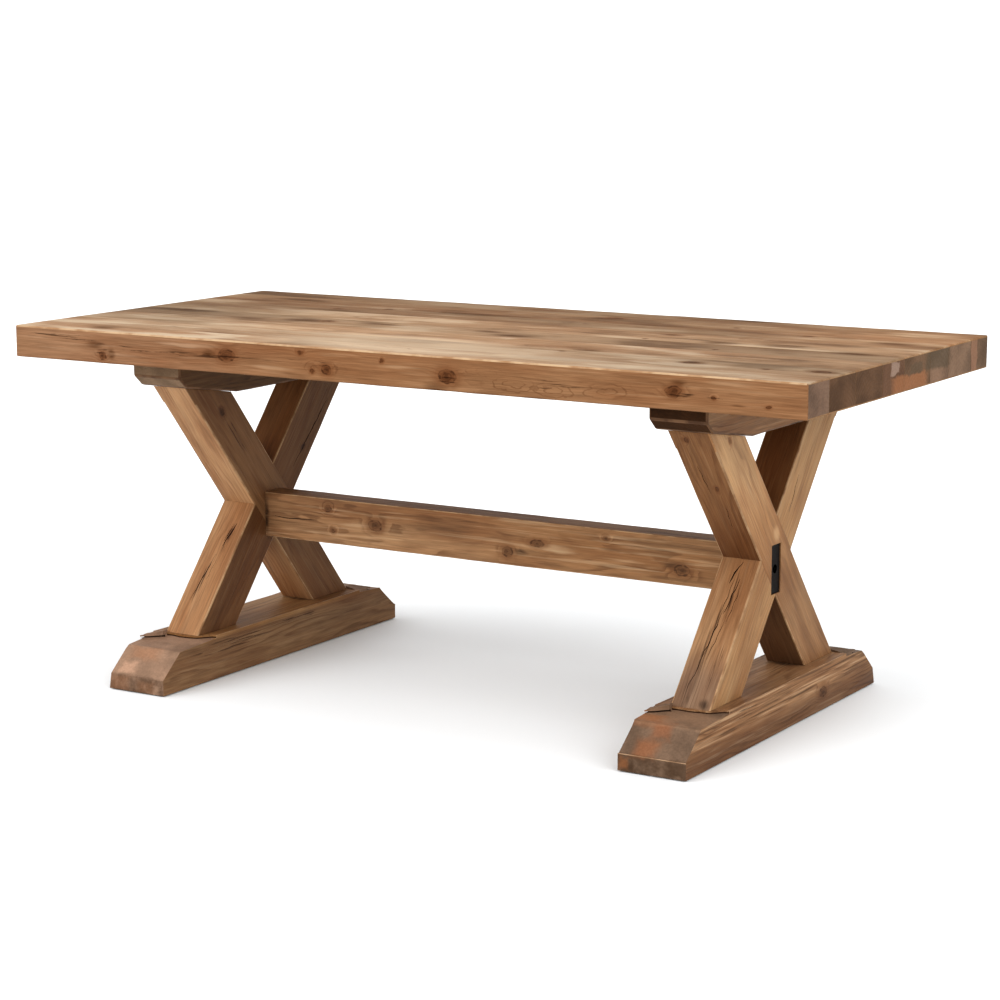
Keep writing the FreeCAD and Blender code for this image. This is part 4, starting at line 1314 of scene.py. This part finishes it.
open_cracks(arms["right_b"], 21,
            (0.0030, [(0.619, 0.347), (0.608, 0.326), (0.604, 0.308)]),
            (0.0026, [(0.623, 0.318), (0.619, 0.290), (0.613, 0.256)]),
            (0.0014, [(0.613, 0.318), (0.610, 0.286), (0.606, 0.254)]),
            (0.0012, [(0.630, 0.312), (0.629, 0.276), (0.624, 0.240)]),
            (0.0022, [(0.612, 0.264), (0.607, 0.226), (0.600, 0.180)]),
            (0.0012, [(0.621, 0.256), (0.617, 0.220), (0.611, 0.178)]),
            (0.0014, [(0.604, 0.196), (0.598, 0.164), (0.592, 0.128)]))
open_cracks(arms["left_a"], 41,
            (0.0030, [(-0.594, 0.312), (-0.600, 0.290), (-0.606, 0.266)]),
            (0.0013, [(-0.602, 0.310), (-0.609, 0.276)]),
            (0.0020, [(-0.614, 0.250), (-0.621, 0.205), (-0.629, 0.160)]),
            (0.0012, [(-0.606, 0.240), (-0.611, 0.200)]))
open_cracks(arms["right_a"], 51,
            (0.0012, [(0.600, 0.560), (0.604, 0.500)]),
            (0.0010, [(0.624, 0.470), (0.622, 0.420)]))
side_cracks = {
    "right_b": ([(ARM_OUT_X, y, z) for y, z in ((0.100, 0.500), (0.068, 0.450), (0.055, 0.430))],
                0.0020, 0.008, (1, 0, 0), 27),
    "left_a": ([(-ARM_IN_X, y, z) for y, z in (
        (0.212, 0.552), (0.160, 0.500), (0.112, 0.452), (0.075, 0.415))], 0.0028, 0.010, (1, 0, 0), 35),
}
for key, crack in side_cracks.items():
    cut(arms[key], [tool_crack(*crack)])
for key, arm in arms.items():
    hand_in(arm, "frame_wood", "arm_" + key)

# %% [markdown]
# ## The stretcher and its ties
#
# The stretcher is a plain rail on edge whose tenons pass into both crossings. A bolt through a
# black plate pulls each one tight. The plate is a thin steel bar let into the crossing's face. The
# rail could simply stop at the arms, but with its tenons on, the joint is closed from every side.
# One plate is made, with a straight hole and a cone sunk into it for the bolt's head, and turned
# round for the other end.

# %% Finish of the stretcher
RAIL_Y, RAIL_Z = -0.032, 0.324   # front face and middle of the stretcher
STRETCHER_KNOTS = on_upright(
    RAIL_Y, (-0.401, 0.351, 0.007, 1.1), (-0.388, 0.305, 0.005, 1.2),
    (-0.278, 0.325, 0.011, 1.4), (0.053, 0.303, 0.010, 1.2), (0.125, 0.327, 0.007, 2.2),
    (0.288, 0.354, 0.005, 1.2), (0.462, 0.306, 0.010, 1.6))
# Dark smears; the first, a narrow upright band at the left end, is painted shade where the rail meets the
# arms.
STRETCHER_DIRT_AND_SHADE = on_upright(
    RAIL_Y, (-0.566, 0.316, 0.050, 0.16), (-0.158, 0.328, 0.010, 2.6),
    (0.085, 0.300, 0.010, 2.2), (-0.060, 0.318, 0.006, 4.0), (0.300, 0.330, 0.006, 5.0),
    (0.440, 0.318, 0.010, 3.0))
STRETCHER_RUBS = on_upright(
    RAIL_Y, (-0.330, 0.322, 0.005, 7.0), (0.170, 0.318, 0.005, 8.0),
    (0.380, 0.312, 0.005, 9.0), (-0.040, 0.336, 0.004, 9.0), (-0.450, 0.300, 0.004, 8.0))
rail_face = frame_pine("stretcher_pine", along_x((0.0, 0.0, RAIL_Z)), (0.075, -0.012), 83.0,
                       knots=STRETCHER_KNOTS, smears=STRETCHER_DIRT_AND_SHADE, rubs=STRETCHER_RUBS, shade=1.2,
                       lines=0.3, grey=0.25,
                       sides=[("Y", RAIL_Y, (1.10, 1.16, 1.18), SIDE_DEPTH, (-0.15, 0.25))])
print(rail_face.name)

# %% Shape the stretcher
rail = blank("stretcher_worn", (-ARM_IN_X, RAIL_Y, 0.274), (ARM_IN_X, -RAIL_Y, 0.374))
give_slots(rail, rail_face, RUBBED_FRAME, CRACK_DUST_AND_SHADE)
scribe(rail, [(x * 0.001, 0, 0) for x in range(-540, 560, 45)], (1, 0, 0))
ease(rail, 0.0022, lambda spot: abs(spot.x) < ARM_IN_X - 0.0005, 2, knocks=0.0014)
for side in BOTH:
    tenon, bore = sorted((side * 0.565, side * 0.646)), sorted((side * 0.527, side * 0.650))
    cut(rail, [tool_block((tenon[0], -0.016, 0.278), (tenon[1], 0.016, 0.370), rail_face)], "UNION")
    cut(rail, [tool_rod((0.0, RAIL_Z), *bore, 0.0055, rail_face, "X"),
               tool_rod((side * 0.547, 0.0), 0.26, 0.336, 0.00705, rail_face)])
cut(rail, [tool_crack([(-0.56, RAIL_Y, 0.322), (-0.50, RAIL_Y, 0.321), (-0.43, RAIL_Y, 0.323)],
                      0.0022, 0.006, (0, -1, 0), 37)])
hand_in(rail, "frame_wood", "stretcher")


# %% Blackened steel
def blackened_steel(name, dark, light):
    """Steel blackened with oil, scuffed between two colours."""
    finish = Finish(name)
    place = finish.object_place()
    scuff = finish.noise(place, 60.0, 4.0)
    return finish.cover(Base_Color=finish.blend(scuff.fade(0.5, 0.75), dark, light),
                        Roughness=scuff * 0.3 + 0.5, Specular_IOR_Level=0.12,
                        Normal=finish.bump(finish.noise(place, 300.0, 3.0), 0.2, 0.0004))


STEEL_BLACK = blackened_steel("blackened_steel", tint(22, 12, 7), tint(40, 26, 17))
# The bolts are lighter than the plate: painted light, so that the shade in their sunk heads reads like the
# plate.
BOLT_BLACK = blackened_steel("blackened_bolts", tint(64, 52, 44), tint(84, 70, 60))
print(STEEL_BLACK.name, BOLT_BLACK.name)

# %% Tie plates, each with a countersunk hole for its bolt
HOLE_RADIUS, SINK_RADIUS = 0.00505, 0.00905
plate = blank("tie_plate_right_worn", *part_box("tie_plate_right"))
give_slots(plate, STEEL_BLACK, STEEL_BLACK)
bpy.ops.object.select_all(action="DESELECT")
bpy.ops.mesh.primitive_cone_add(vertices=32, radius1=HOLE_RADIUS, radius2=SINK_RADIUS, depth=0.004,
                                location=(0.650, 0.0, RAIL_Z), rotation=(0.0, math.pi / 2, 0.0))
sink = settle()
cut(plate, [tool_rod((0.0, RAIL_Z), 0.640, 0.6485, HOLE_RADIUS, None, "X")])
cut(plate, [sink])
plate_left = turned_copy(plate, "tie_plate_left_worn")
hand_in(plate, "black_steel", "tie_plate_right")
hand_in(plate_left, "black_steel", "tie_plate_left")

# %% [markdown]
# ## Hidden pieces
#
# Screws, nuts, washers, tongues and glides hold the table together and are hardly seen. They could
# be made again as the timbers were, but they don't wear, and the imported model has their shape
# already. So they stay as they are and only get a finish: zinc, blackened steel, bare softwood or
# brown nylon.


# %% Finishes of the hidden pieces
def zinc():
    finish = Finish("zinc_plate")
    spangle = finish.noise(finish.object_place(), 240.0, 3.0)
    colour = finish.blend(spangle, tint(176, 178, 176), tint(206, 206, 200))
    return finish.cover(Base_Color=colour, Metallic=1.0, Roughness=spangle * 0.2 + 0.3)


def nylon():
    finish = Finish("brown_nylon")
    mottle = finish.noise(finish.object_place(), 180.0, 2.0)
    colour = finish.blend(mottle, tint(88, 76, 64), tint(102, 90, 76))
    return finish.cover(Base_Color=colour, Roughness=mottle * 0.1 + 0.45)


ZINC = zinc()
FINISH_OF = {
    "top_tongues": pine("tongue_pine", along_x((0.0, 0.0, 0.728)), (0.0, -0.08), 90.0, shade=1.05, grey=0.0),
    "coach_screws": ZINC, "coach_washers": ZINC, "top_fixing_screws": ZINC, "barrel_nuts": ZINC,
    "tie_bolts": BOLT_BLACK, "floor_glides": nylon(),
}
for node, finish in FINISH_OF.items():
    give_slots(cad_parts[node], finish)
    print(node, finish.name)

# %% [markdown]
# ## Floor and light
#
# The room is a white sweep lit from all round, as in a studio, with three wide soft lights: one from
# the front left, a weaker one from the right and a faint one from above. Lamps close to the table
# would light its near end more than the far one. Distant ones with a wide angle light it evenly from
# end to end, and the shadows under it stay soft and faint.


# %% Floor
def floor_white():
    finish = Finish("floor_white")
    cloud = finish.noise(finish.object_place(), 1.5, 2.0)
    colour = finish.blend(cloud, (0.705, 0.72, 0.73), (0.725, 0.74, 0.75))
    return finish.cover(Base_Color=colour, Roughness=0.8)


bpy.ops.object.select_all(action="DESELECT")
bpy.ops.mesh.primitive_plane_add(size=60.0, location=(0.0, 0.0, 0.0))
floor = bpy.context.object
floor.name = "floor"
give_slots(floor, floor_white())
print(floor.name)


# %% Lights
def soft_light(name, towards, strength, width):
    """A wide, distant light; towards is the way from the table to it, width its angle in degrees."""
    lamp = bpy.data.lights.new(name, "SUN")
    lamp.energy = strength
    lamp.angle = math.radians(width)
    light = bpy.data.objects.new(name, lamp)
    light.rotation_euler = Vector(towards).to_track_quat("Z", "Y").to_euler()
    light.location = Vector(towards) * 4.0
    bpy.context.scene.collection.objects.link(light)


soft_light("front_left_window", (-0.45, -0.80, 0.50), 1.5, 45.0)
soft_light("right_window", (0.90, -0.40, 0.50), 1.2, 45.0)
soft_light("skylight", (0.10, -0.10, 1.00), 0.6, 60.0)
world = bpy.data.worlds.new("studio")
bpy.context.scene.world = world
world.use_nodes = True
sky = world.node_tree.nodes["Background"]
sky.inputs["Color"].default_value = (1.0, 1.0, 1.0, 1.0)
sky.inputs["Strength"].default_value = 1.05
bpy.context.scene.view_settings.view_transform = "Standard"
bpy.context.scene.view_settings.look = "Medium High Contrast"
print("world", sky.inputs["Strength"].default_value)
